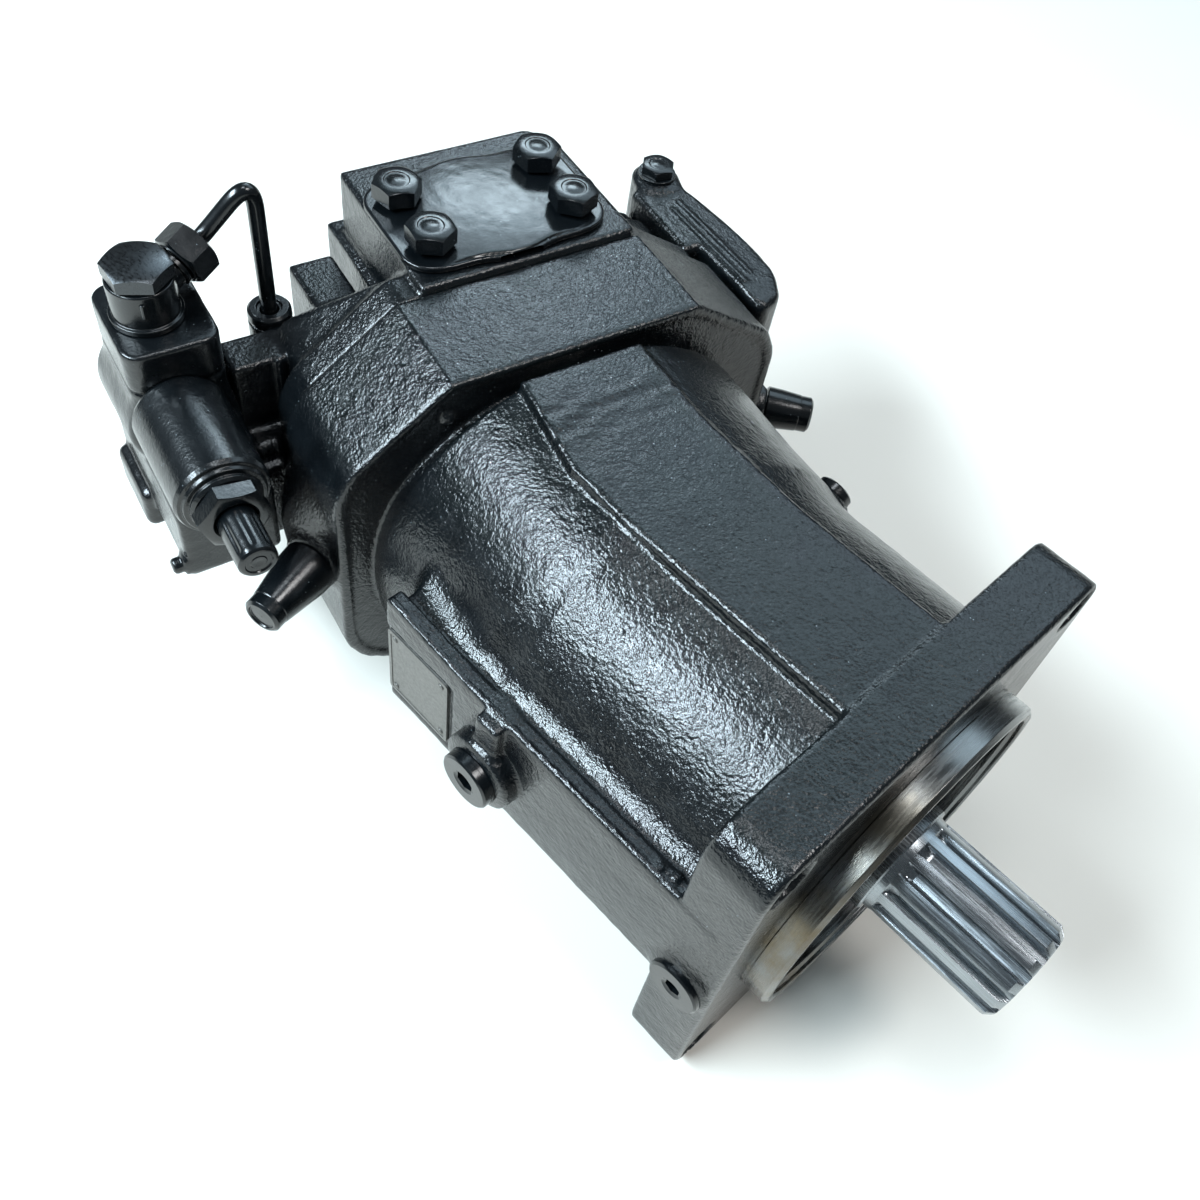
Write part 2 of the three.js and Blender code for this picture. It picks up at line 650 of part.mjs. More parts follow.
// Waisted oval: two ends round the screws, joined by a wider round middle.
function coverOutline() {
  const [cx, cy] = [PORT_X, PORT_Y];
  const endR = 14;
  const endX = PORT_BOLT_X / 2;
  const endY = PORT_BOLT_Y / 2;
  const shape = new THREE.Shape();
  shape.absarc(cx + endX, cy + endY, endR, -0.15, Math.PI / 2, false);
  shape.absarc(cx - endX, cy + endY, endR, Math.PI / 2, Math.PI + 0.15, false);
  shape.absarc(cx, cy, 34, Math.PI - 0.25, Math.PI + 0.25, false);
  shape.absarc(cx - endX, cy - endY, endR, Math.PI - 0.15, 1.5 * Math.PI, false);
  shape.absarc(cx + endX, cy - endY, endR, -Math.PI / 2, 0.15, false);
  shape.absarc(cx, cy, 34, -0.25, 0.25, false);
  return shape;
}

function portCover(z0) {
  const slab = alongZ(coverOutline(), z0, z0 + COVER_THICK, 4);
  const holes = portScrewPlaces.map(({ x, y }) =>
    moved(post(z0 - 1, z0 + COVER_THICK + 1, PORT_SCREW_R + GAP, 10), x, y, 0));
  return cut(slab, ...holes);
}
add(rear, 'top_port_cover', portCover(PAD_Z + GAP), blackPaint());

// Hexagon head screw standing upright with the underside of its head at z = 0.
function hexScrew(shankR, shankLength, acrossFlats, headHeight) {
  const corner = acrossFlats / Math.sqrt(3);
  const head = common(
    alongZ(hexagon(acrossFlats), 0, headHeight),
    upright(turned([
      [-1, corner + 1], [headHeight - 1.6, corner + 0.2], [headHeight, acrossFlats / 2],
    ], 12)),
  );
  return join(head, post(-shankLength, 1, shankR, 10));
}

const COVER_TOP = PAD_Z + COVER_THICK + 2 * GAP;
portScrewPlaces.forEach(({ x, y }, i) => {
  add(rear, `top_cover_screw_${i + 1}`, hexScrew(PORT_SCREW_R, 25, 18.5, 8.2), blackPaint())
    .position.set(x, y, COVER_TOP);
});

// ---- stop screws and their caps -------------------------------------------------------------------

for (const [name, stop] of Object.entries(STOPS)) {
  const screw = rod(stop.tip, stop.end - 7, STOP_SCREW_R, 10);
  add(rear, `stop_screw_${name}`, onStopLine(screw, stop), springSteel());
  const outside = turned([
    [stop.face, 12.5], [stop.face + 7, 12.5], [stop.face + 9, 11.2], [stop.end, 8],
  ], 18);
  const cap = cut(outside, rod(stop.face - 1, stop.end - 6, STOP_SCREW_R + 0.7, 12));
  add(rear, `stop_cap_${name}`, onStopLine(cap, stop), blackPaint());
}

// ---- pressure control valve on the port plate's left end --------------------------------------------

const VALVE_Y = -143;
const VALVE_Z = 50;
const VALVE_BLOCK_FRONT = -158;
const VALVE_BLOCK_BACK = -205;
const VALVE_TOP = 82.5;
const CYLINDER_R = 19.5;
const CYLINDER_FRONT = -107;
const SPRING_ROOM_R = 14.5;
const SPOOL_R = 5.6;
const ADJUSTER_R = 8;
const ADJUSTER_END = -72;

const onValveAxis = (geometry) => geometry.clone().translate(0, VALVE_Y, VALVE_Z);

// A block standing on Z with rounded upright edges.
function uprightBlock(x0, x1, y0, y1, z0, z1, r) {
  const outline = roundedRect((x1 - x0) / 2, (y1 - y0) / 2, r, (x0 + x1) / 2, (y0 + y1) / 2);
  return alongZ(outline, z0, z1, 4);
}

const BANJO = { x: -181.5, y: -141.8 };
function controlBody() {
  const upper = uprightBlock(VALVE_BLOCK_BACK, VALVE_BLOCK_FRONT, -159, -119.5, 10, VALVE_TOP, 7);
  const lower = uprightBlock(-208, -124, -160, ARM_LEFT - GAP, -13, 26, 4);
  const sideCover = uprightBlock(-204, -168, -165, -150, -26, -4, 5);
  const sidePort = rod(-166, -155, 3.6, 12).rotateZ(Math.PI / 2).translate(-128, 0, -6);
  const body = join(upper, lower, sideCover, sidePort);
  const spoolBore = onValveAxis(rod(-202, VALVE_BLOCK_FRONT + 1, SPOOL_R + 0.25, 16));
  const banjoHole = moved(post(VALVE_Z, VALVE_TOP + 1, 6, 14), BANJO.x, BANJO.y, 0);
  return cut(body, spoolBore, banjoHole);
}
add(rear, 'control_body', controlBody(), blackPaint());

const cylinderBack = VALVE_BLOCK_FRONT + GAP;
const END_RING_FACE = CYLINDER_FRONT + 4;
add(rear, 'spring_cylinder', onValveAxis(ring([
  [cylinderBack, SPRING_ROOM_R], [CYLINDER_FRONT - 6, SPRING_ROOM_R],
  [CYLINDER_FRONT - 6, ADJUSTER_R + 0.4], [END_RING_FACE, ADJUSTER_R + 0.4],
  [END_RING_FACE, 14.5], [CYLINDER_FRONT, 16], [CYLINDER_FRONT, CYLINDER_R - 2],
  [CYLINDER_FRONT - 2, CYLINDER_R], [cylinderBack, CYLINDER_R],
], 24)), blackPaint());

const nutFace = END_RING_FACE + GAP;
add(rear, 'lock_nut', onValveAxis(cut(
  alongX(hexagon(26), nutFace, nutFace + 8),
  rod(nutFace - 1, nutFace + 9, ADJUSTER_R + 0.4, 18),
)), blackPaint());

add(rear, 'adjusting_screw', onValveAxis(turned([
  [-120, ADJUSTER_R - 1], [ADJUSTER_END - 12, ADJUSTER_R],
  [ADJUSTER_END - 1, ADJUSTER_R], [ADJUSTER_END, ADJUSTER_R - 1],
], 18)), blackPaint());

const SEAT_X = -150;
add(rear, 'control_spool', onValveAxis(turned([
  [-196, SPOOL_R - 1], [-195, SPOOL_R], [SEAT_X - 4, SPOOL_R], [SEAT_X - 4, 12], [SEAT_X, 12],
], 16)), bearingSteel());

const controlCoil = moved(coil(9.5, 1.6, 5.4, 4, 8, 3), SEAT_X + 2.2, 0, 0);
add(rear, 'control_spring', onValveAxis(controlCoil), springSteel());

// Swivel union: a ring body held on the block by a hollow screw, with the signal pipe's nut on its side.
const BANJO_LOW = VALVE_TOP + GAP;
const BANJO_HIGH = 101;
const BANJO_R = 13.3;
const UNION_Z = 90;
const SCREW_HEAD_TOP = 108.3;
const ARM_TILT = THREE.MathUtils.degToRad(18);
const ARM_TURN = THREE.MathUtils.degToRad(114.6);

// Places a piece turned about X so that it points along the pipe's first, rising stretch.
function onUnionArm(geometry) {
  return geometry.clone().rotateY(-ARM_TILT).rotateZ(ARM_TURN).translate(BANJO.x, BANJO.y, UNION_Z);
}

const NUT_FROM = 19;             // along the union's arm
const NUT_TO = 31;
const PIPE_R = 3.5;

const banjoAxis = (geometry) => moved(geometry, BANJO.x, BANJO.y, 0);
add(rear, 'banjo_ring', cut(
  join(banjoAxis(post(BANJO_LOW, BANJO_HIGH, BANJO_R, 24)), onUnionArm(rod(8, NUT_FROM - GAP, 7, 14))),
  banjoAxis(post(BANJO_LOW - 1, BANJO_HIGH + 1, 7.6, 14)),
  banjoAxis(post(BANJO_HIGH, BANJO_HIGH + 9, 15, 14)),
), blackPaint());

add(rear, 'banjo_screw', banjoAxis(join(
  alongZ(hexagon(24), BANJO_HIGH + GAP, SCREW_HEAD_TOP),
  post(BANJO_LOW, BANJO_HIGH + 1, 7, 12),
  post(VALVE_Z + 8, BANJO_LOW + 1, 5.5, 12),
)), blackPaint());

add(rear, 'pipe_nut', onUnionArm(cut(
  alongX(hexagon(19), NUT_FROM, NUT_TO), rod(NUT_FROM - 1, NUT_TO + 1, PIPE_R + 1, 12),
)), blackPaint());

// The pipe rises from the nut, bends over and drops straight onto its fitting.
function signalPipe() {
  const start = onUnionArm(new THREE.BufferGeometry().setFromPoints([
    new THREE.Vector3(NUT_FROM + 3, 0, 0), new THREE.Vector3(NUT_TO + 1, 0, 0),
  ])).attributes.position;
  const from = new THREE.Vector3().fromBufferAttribute(start, 0);
  const nutEnd = new THREE.Vector3().fromBufferAttribute(start, 1);
  const crown = new THREE.Vector3(PIPE_FOOT.x, PIPE_FOOT.y, 127);
  const foot = new THREE.Vector3(PIPE_FOOT.x, PIPE_FOOT.y, PIPE_FOOT.z - 12);
  const bend = 12;
  const rising = crown.clone().sub(nutEnd).normalize();
  const before = crown.clone().addScaledVector(rising, -bend);
  const after = crown.clone().add(new THREE.Vector3(0, 0, -bend));
  const route = new THREE.CurvePath();
  route.add(new THREE.LineCurve3(from, nutEnd));
  route.add(new THREE.LineCurve3(nutEnd, before));
  route.add(new THREE.QuadraticBezierCurve3(before, crown, after));
  route.add(new THREE.LineCurve3(after, foot));
  const section = new THREE.Shape();
  section.absarc(0, 0, PIPE_R, 0, 2 * Math.PI, false);
  return new THREE.ExtrudeGeometry(section, {
    steps: 16, curveSegments: 5, bevelEnabled: false, extrudePath: route,
  });
}
add(rear, 'signal_pipe', signalPipe(), blackPaint());

add(rear, 'pipe_fitting', moved(upright(ring([
  [PIPE_FOOT.z - 6 + GAP, PIPE_R + 0.5], [PIPE_FOOT.z, PIPE_R + 0.5],
  [PIPE_FOOT.z, 8.5], [PIPE_FOOT.z - 6 + GAP, 9.5],
], 18)), PIPE_FOOT.x, PIPE_FOOT.y, 0), blackPaint());

// ---- side valve on the port plate's right end ---------------------------------------------------------

const SIDE_VALVE_TOP = 60;
const SIDE_BOSS = { x: -205, y: 117, top: 63 };

function sideValve() {
  const outline = polygon([
    [-202, ARM_RIGHT + GAP], [-153, ARM_RIGHT + GAP], [-153, 106], [-137, 108.6], [-112, 109.5],
    [-104, 115], [-109, 127], [-125, 134.5], [-150, 138.5], [-174, 137], [-192, 129], [-208, 128],
    [-208, 106],
  ]);
  const body = alongZ(outline, 26, SIDE_VALVE_TOP);
  const boss = moved(post(24, SIDE_BOSS.top, 12, 20), SIDE_BOSS.x, SIDE_BOSS.y, 0);
  const hole = moved(post(30, SIDE_BOSS.top + 1, 4.8, 12), SIDE_BOSS.x, SIDE_BOSS.y, 0);
  return cut(join(body, boss), hole);
}
add(rear, 'side_valve_body', sideValve(), blackPaint());
add(rear, 'side_valve_screw', hexScrew(4.5, 30, 15, 6), blackPaint())
  .position.set(SIDE_BOSS.x, SIDE_BOSS.y, SIDE_BOSS.top + GAP);

// The origin goes to the middle of the bounding box's underside.
part.updateMatrixWorld(true);
const bounds = new THREE.Box3().setFromObject(part, true);
const middle = bounds.getCenter(new THREE.Vector3());
part.position.set(-middle.x, -middle.y, -bounds.min.z);

export default part;
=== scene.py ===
"""Looks for a bent-axis piston pump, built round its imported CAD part.

Shapes are written in millimetres in the pump's own frames. In the front frame X is the drive shaft's axis,
with the flange's mounting face at x = 0. The rear frame is turned by BEND about the pivot on that axis.
"""

import json
import math

import bpy
import numpy as np
from mathutils import Matrix, Vector


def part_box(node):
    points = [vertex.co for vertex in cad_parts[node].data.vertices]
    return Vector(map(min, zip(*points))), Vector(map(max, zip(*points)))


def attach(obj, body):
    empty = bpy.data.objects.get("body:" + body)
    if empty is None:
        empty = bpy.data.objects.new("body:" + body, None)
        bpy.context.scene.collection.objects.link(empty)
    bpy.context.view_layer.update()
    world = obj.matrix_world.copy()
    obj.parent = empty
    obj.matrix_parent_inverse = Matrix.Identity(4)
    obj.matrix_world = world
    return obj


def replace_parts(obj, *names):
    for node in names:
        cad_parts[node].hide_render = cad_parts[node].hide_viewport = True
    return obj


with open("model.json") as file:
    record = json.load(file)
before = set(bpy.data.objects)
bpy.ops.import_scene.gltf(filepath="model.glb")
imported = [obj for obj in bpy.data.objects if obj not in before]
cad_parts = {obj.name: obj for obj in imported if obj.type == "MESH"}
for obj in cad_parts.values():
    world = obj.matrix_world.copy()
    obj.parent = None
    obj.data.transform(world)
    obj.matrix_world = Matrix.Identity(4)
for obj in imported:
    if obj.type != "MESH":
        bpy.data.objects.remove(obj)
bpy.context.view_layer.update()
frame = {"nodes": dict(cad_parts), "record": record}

MM = 0.001
BEND = math.radians(13)
COS, SIN = math.cos(BEND), math.sin(BEND)
PIVOT_X = -120.0
SHAFT_END = 73.0
CASING = "casing"

shaft_low, shaft_high = (np.array(corner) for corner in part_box("drive_shaft"))
ORIGIN = (shaft_low + shaft_high) / 2
ORIGIN[0] = shaft_high[0] - SHAFT_END * MM


# ---- frames ----

def to_rear(x, y):
    """Front frame x and y as rear frame x and y."""
    return (x - PIVOT_X) * COS - y * SIN, (x - PIVOT_X) * SIN + y * COS


def from_rear(points):
    p = np.array(points, float)
    out = p.copy()
    out[:, 0] = PIVOT_X + p[:, 0] * COS + p[:, 1] * SIN
    out[:, 1] = -p[:, 0] * SIN + p[:, 1] * COS
    return out


def turn(points, axis, angle):
    """Turns points about the X, Y or Z axis through the origin."""
    rotation = np.array(Matrix.Rotation(angle, 3, axis))
    return np.asarray(points, float) @ rotation.T


def shift(points, x=0.0, y=0.0, z=0.0):
    return np.asarray(points, float) + np.array([x, y, z])


# ---- mesh objects ----

def mesh_object(name, points, faces, material, body=CASING, slot="black_paint", rear=False, sharp=None):
    """Makes one piece from millimetre points and a list of faces, riding on a CAD body."""
    where = from_rear(points) if rear else np.asarray(points, float)
    where = where * MM + ORIGIN
    sizes = np.array([len(f) for f in faces])
    if isinstance(faces, np.ndarray):
        loops = faces.ravel()
    else:
        loops = np.concatenate([np.asarray(f) for f in faces])
    mesh = bpy.data.meshes.new(name)
    mesh.vertices.add(len(where))
    mesh.vertices.foreach_set("co", where.astype(np.float32).ravel())
    mesh.loops.add(len(loops))
    mesh.loops.foreach_set("vertex_index", loops.astype(np.int32))
    mesh.polygons.add(len(sizes))
    starts = np.concatenate([[0], np.cumsum(sizes)[:-1]])
    mesh.polygons.foreach_set("loop_start", starts.astype(np.int32))
    mesh.polygons.foreach_set("loop_total", sizes.astype(np.int32))
    mesh.update(calc_edges=True)
    mesh.validate()
    mesh.polygons.foreach_set("use_smooth", np.ones(len(mesh.polygons), bool))
    if sharp:
        mesh.set_sharp_from_angle(angle=math.radians(sharp))
    mesh.materials.append(material)
    piece = bpy.data.objects.new(name, mesh)
    bpy.context.scene.collection.objects.link(piece)
    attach(piece, body)
    return piece


def merge(*shapes):
    """Joins (points, faces) pairs into one."""
    points, faces, base = [], [], 0
    for p, f in shapes:
        points.append(np.asarray(p, float))
        faces.extend([[i + base for i in face] for face in f])
        base += len(p)
    return np.vstack(points), faces


def stand_in(node, name, shape, material, sharp=32, **more):
    """Makes a piece from (points, faces) that stands for a CAD node."""
    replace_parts(mesh_object(name, *shape, material, sharp=sharp, **more), node)


# ---- turned and prismatic shapes ----

NEARLY_STRAIGHT = math.radians(84)
ARC_STEPS = 3
ARC_SHARE = 0.45  # most of a side that one arc may take
HOLD, HOLD_SHARE = 0.06, 0.04  # length of the flat strip beside an arc, and most of a side that it may take
NEAR_AXIS = 0.02


def soften(outline, radius, closed=True):
    """Rounds the corners of an [a, b] outline, with a strip beside each arc that keeps the flats flat."""
    points = [np.array(p, float) for p in outline]
    out = []
    n = len(points)
    for i, p in enumerate(points):
        if not closed and i in (0, n - 1):
            out.append(p)
            continue
        a, b = points[i - 1] - p, points[(i + 1) % n] - p
        la, lb = np.linalg.norm(a), np.linalg.norm(b)
        a, b = a / la, b / lb
        half = math.acos(max(-1, min(1, float(a @ b)))) / 2
        if half > NEARLY_STRAIGHT:
            out.append(p)
            continue
        reach = min(radius / math.tan(half), ARC_SHARE * la, ARC_SHARE * lb)
        start, end = p + a * reach, p + b * reach
        hold = min(HOLD, HOLD_SHARE * min(la, lb))
        out.append(start + a * hold)
        control = p * 0.82 + (start + end) * 0.09
        for t in np.arange(ARC_STEPS + 1) / ARC_STEPS:
            out.append((1 - t) ** 2 * start + 2 * t * (1 - t) * control + t * t * end)
        out.append(end + b * hold)
    return out


def ring_at(x, radii):
    """Ring round X through radii at equal angles; x may differ from point to point."""
    a = np.arange(len(radii)) * 2 * math.pi / len(radii)
    return np.stack([np.zeros(len(radii)) + x, radii * np.cos(a), radii * np.sin(a)], 1)


def lathe(profile, sides=96, radius=0.5, closed=False):
    """Turns an [x, r] profile about X. An open profile starts and ends on the axis."""
    line = soften(profile, radius, closed)
    rings = [ring_at(x, np.full(sides, r)) if r > 0 else np.array([[x, 0, 0]]) for x, r in line]
    return rings_solid(rings, closed)


def outward(points, faces):
    """Flips all faces when the closed shape's volume comes out negative."""
    volume = 0.0
    for f in faces:
        a = points[f[0]]
        for i in range(1, len(f) - 1):
            volume += float(a @ np.cross(points[f[i]], points[f[i + 1]]))
    return (points, faces) if volume > 0 else (points, [list(f)[::-1] for f in faces])


def rings_solid(rings, closed=False):
    """Skins rings of equal length; the first and last of an open set may be a single point."""
    points = np.vstack(rings)
    starts = np.concatenate([[0], np.cumsum([len(r) for r in rings])])
    faces = []
    for i in range(len(rings) if closed else len(rings) - 1):
        j = (i + 1) % len(rings)
        a, b = starts[i], starts[j]
        na, nb = len(rings[i]), len(rings[j])
        n = max(na, nb)
        for k in range(n):
            m = (k + 1) % n
            if na == 1:
                faces.append([a, b + m, b + k])
            elif nb == 1:
                faces.append([a + k, a + m, b])
            else:
                faces.append([a + k, a + m, b + m, b + k])
    return outward(points, faces)


def upright(shape, spin=0.0):
    """A shape turned about X, spun on its axis and then set upright, with its X along Z."""
    points, faces = shape
    return turn(turn(points, "X", spin), "Y", -math.pi / 2), faces


def moved(shape, x=0.0, y=0.0, z=0.0):
    return shift(shape[0], x, y, z), shape[1]


HEX_SAMPLES = 96
HEX_ANGLES = np.arange(HEX_SAMPLES) * 2 * math.pi / HEX_SAMPLES


def hex_radius(across_flats):
    """Distance to a hexagon's side in each direction."""
    return across_flats / 2 / np.cos((HEX_ANGLES + math.pi / 6) % (math.pi / 3) - math.pi / 6)


def hex_ring(x, across_flats, limit=1e9):
    return ring_at(x, np.minimum(hex_radius(across_flats), limit))


def round_ring(x, radius):
    return ring_at(x, np.full(HEX_SAMPLES, float(radius)))


WASHER_FACE = 0.6
CORNER_SLOPE = math.tan(math.radians(28))


def hex_head(across_flats, height, dish=0.35, mark=0.55, both=False, bore=0.0):
    """Hexagon head or nut along X from 0 to height, with its corners turned off at the outer end."""
    crown = 0.47 * across_flats
    drop = np.maximum(hex_radius(across_flats) - crown, 0) * CORNER_SLOPE
    low = WASHER_FACE + drop if both else WASHER_FACE
    rings = [round_ring(0, 0.455 * across_flats), round_ring(WASHER_FACE * 0.9, 0.46 * across_flats)]
    if both:
        rings.append(round_ring(WASHER_FACE, crown))
    rings += [hex_ring(low, across_flats), hex_ring(height - drop, across_flats)]
    rings.append(round_ring(height, crown))
    if bore:
        rings += [round_ring(height, bore + 0.8), round_ring(height - 0.7, bore), round_ring(0, bore)]
        return rings_solid(rings, True)
    inner = mark * across_flats / 2
    rings += [
        round_ring(height, inner + 0.5), round_ring(height - dish, inner),
        round_ring(height - dish, inner * 0.7), round_ring(height - dish * 0.5, inner * 0.6),
        round_ring(height - dish * 0.5, NEAR_AXIS),
    ]
    return rings_solid([round_ring(0, NEAR_AXIS)] + rings)


def socket_cap(body_r, body_length, head_r, head_length, socket):
    """Plug along X with a hexagon socket in its face; x = 0 is the underside of its head."""
    bottom, chamfer = -2.5, 0.8
    step = head_length * 0.3
    rings = [
        round_ring(-body_length, NEAR_AXIS), round_ring(-body_length, body_r), round_ring(-0.3, body_r),
        round_ring(0.1, head_r), round_ring(step, head_r),
        round_ring(step + 0.01, head_r - 0.25), round_ring(head_length - chamfer, head_r - 0.25),
        round_ring(head_length - 0.2, head_r - chamfer), round_ring(head_length, head_r - chamfer - 0.3),
        round_ring(head_length, socket / 2 + 1.6), round_ring(head_length - 0.5, socket / 2 + 0.9),
        hex_ring(head_length - 0.7, socket, 10), hex_ring(bottom, socket),
        round_ring(bottom - 1.2, NEAR_AXIS),
    ]
    return rings_solid(rings)


def sweep(path, radius, sides=24):
    """Round tube along a path of points, closed at both ends."""
    p = np.asarray(path, float)
    tangents = np.gradient(p, axis=0)
    tangents /= np.linalg.norm(tangents, axis=1)[:, None]
    normal = np.cross(tangents[0], [0.3, 0.9, 0.2])
    normal /= np.linalg.norm(normal)
    rings = [p[:1]]
    a = np.arange(sides) * 2 * math.pi / sides
    for point, tangent in zip(p, tangents):
        normal = normal - tangent * (normal @ tangent)
        normal /= np.linalg.norm(normal)
        across = np.cross(tangent, normal)
        rings.append(point + radius * (np.cos(a)[:, None] * normal + np.sin(a)[:, None] * across))
    rings.append(p[-1:])
    return rings_solid(rings)


# ---- cast shapes, as distance fields skinned on a grid ----

def rmin(a, b, r):
    """Union with a fillet."""
    u, v = np.maximum(r - a, 0), np.maximum(r - b, 0)
    return np.maximum(r, np.minimum(a, b)) - np.sqrt(u * u + v * v)


def blend(a, b, reach):
    """Union of two nearly parallel surfaces, eased together over a wide band."""
    return np.minimum(a, b) - np.maximum(reach - np.abs(a - b), 0) ** 2 / (4 * reach)


def rmax(a, b, r):
    """Intersection with a rounded edge."""
    u, v = np.maximum(r + a, 0), np.maximum(r + b, 0)
    return np.minimum(-r, np.maximum(a, b)) + np.sqrt(u * u + v * v)


def carve(a, b, r):
    return rmax(a, -b, r)


def join(body, *additions):
    """Adds (field, fillet) pairs to a body in turn."""
    for field, fillet in additions:
        body = rmin(body, field, fillet)
    return body


def span(t, low, high):
    return np.abs(t - (low + high) / 2) - (high - low) / 2


def block(x, y, z, x0, x1, y0, y1, z0, z1, r=2.0):
    dx, dy, dz = span(x, x0, x1) + r, span(y, y0, y1) + r, span(z, z0, z1) + r
    outside = np.sqrt(np.maximum(dx, 0) ** 2 + np.maximum(dy, 0) ** 2 + np.maximum(dz, 0) ** 2)
    return outside + np.minimum(np.maximum(np.maximum(dx, dy), dz), 0) - r


def pillar(u, v, w, radius, w0, w1, r=1.0):
    """Cylinder along w."""
    return rmax(np.hypot(u, v) - radius, span(w, w0, w1), r)


def ball(u, v, w, radius):
    return np.sqrt(u ** 2 + v ** 2 + w ** 2) - radius


def rounded_plan(u, v, half_u, half_v, corner):
    qu, qv = np.abs(u) - (half_u - corner), np.abs(v) - (half_v - corner)
    return np.minimum(np.maximum(qu, qv), 0) + np.hypot(np.maximum(qu, 0), np.maximum(qv, 0)) - corner


def convex(u, v, corners, r):
    """Inside of a convex outline given counter-clockwise, with rounded corners."""
    total = None
    for (a0, b0), (a1, b1) in zip(corners, corners[1:] + corners[:1]):
        length = math.hypot(a1 - a0, b1 - b0)
        side = ((b1 - b0) * (u - a0) - (a1 - a0) * (v - b0)) / length
        total = side if total is None else rmax(total, side, r)
    return total


CELL_CORNERS = [(i, j, k) for i in (0, 1) for j in (0, 1) for k in (0, 1)]


def skin(field, low, high, step):
    """Surface of field < 0 as points and quads."""
    axes = [np.arange(a, b + step, step, dtype=np.float32) for a, b in zip(low, high)]
    x, y, z = axes[0][:, None, None], axes[1][None, :, None], axes[2][None, None, :]
    f = np.ascontiguousarray(np.broadcast_to(field(x, y, z), [len(a) for a in axes]), np.float32)
    inside = f < 0
    count = sum(
        inside[i:f.shape[0] - 1 + i, j:f.shape[1] - 1 + j, k:f.shape[2] - 1 + k].astype(np.uint8)
        for i, j, k in CELL_CORNERS
    )
    active = (count > 0) & (count < 8)
    cells = np.argwhere(active)
    index = np.full(active.shape, -1, np.int32)
    index[active] = np.arange(len(cells))
    total = np.zeros((len(cells), 3))
    hits = np.zeros(len(cells))
    for a in CELL_CORNERS:
        for axis in range(3):
            if a[axis]:
                continue
            b = list(a)
            b[axis] = 1
            fa = f[tuple((cells + a).T)]
            fb = f[tuple((cells + b).T)]
            crossing = (fa < 0) != (fb < 0)
            t = fa / np.where(crossing, fa - fb, 1)
            where = np.tile(np.array(a, float), (len(cells), 1))
            where[:, axis] = t
            total[crossing] += where[crossing]
            hits += crossing
    points = (cells + total / hits[:, None]) * step + np.array(low)
    quads = []
    for axis in range(3):
        low_side = np.take(inside, range(f.shape[axis] - 1), axis)
        high_side = np.take(inside, range(1, f.shape[axis]), axis)
        changed = low_side != high_side
        others = [o for o in range(3) if o != axis]
        inner = [slice(None)] * 3
        for o in others:
            inner[o] = slice(1, -1)
        at = np.argwhere(changed[tuple(inner)])
        for o in others:
            at[:, o] += 1
        u, v = [(1, 2), (2, 0), (0, 1)][axis]
        corner = []
        for du, dv in ((-1, -1), (0, -1), (0, 0), (-1, 0)):
            c = at.copy()
            c[:, u] += du
            c[:, v] += dv
            corner.append(index[tuple(c.T)])
        quad = np.stack(corner, 1)
        leaving = low_side[tuple(at.T)]
        quads.append(np.where(leaving[:, None], quad, quad[:, ::-1]))
    return points, np.vstack(quads)


def vertex_normals(points, quads):
    n = np.cross(points[quads[:, 2]] - points[quads[:, 0]], points[quads[:, 3]] - points[quads[:, 1]])
    total = np.zeros_like(points)
    for k in range(4):
        np.add.at(total, quads[:, k], n)
    return total / np.maximum(np.linalg.norm(total, axis=1), 1e-12)[:, None]


LATTICE_SIZE = 32
LATTICE = np.random.default_rng(7).uniform(-1, 1, (LATTICE_SIZE,) * 3)


def value_noise(points, wavelength, offset):
    """Smooth noise from -1 to 1 at a wavelength in millimetres."""
    q = points / wavelength + offset
    base = np.floor(q).astype(int)
    t = q - base
    t = t * t * (3 - 2 * t)
    total = 0.0
    for corner in CELL_CORNERS:
        weight = 1.0
        for axis, side in enumerate(corner):
            weight = weight * (t[:, axis] if side else 1 - t[:, axis])
        total = total + weight * LATTICE[tuple(((base + corner) % LATTICE_SIZE).T)]
    return total


# weight, wavelength and offset of each layer of the cast surface's unevenness
CAST_LAYERS = ((0.5, 6.0, 0.0), (0.6, 3.4, 5.0), (0.5, 31.0, 9.0))


def casting(name, field, low, high, step, material, rear=False, rough=0.14, machined=None):
    """Skins a field and gives it the uneven surface of sand-cast iron, except where it is machined."""
    points, quads = skin(field, low, high, step)
    normals = vertex_normals(points, quads)
    uneven = sum(weight * value_noise(points, *layer) for weight, *layer in CAST_LAYERS)
    amount = np.full(len(points), rough)
    if machined is not None:
        amount = np.where(machined(points), 0.0, amount)
    points = points + normals * (uneven * amount)[:, None]
    return mesh_object(name, points, quads, material, rear=rear)


# ---- materials ----

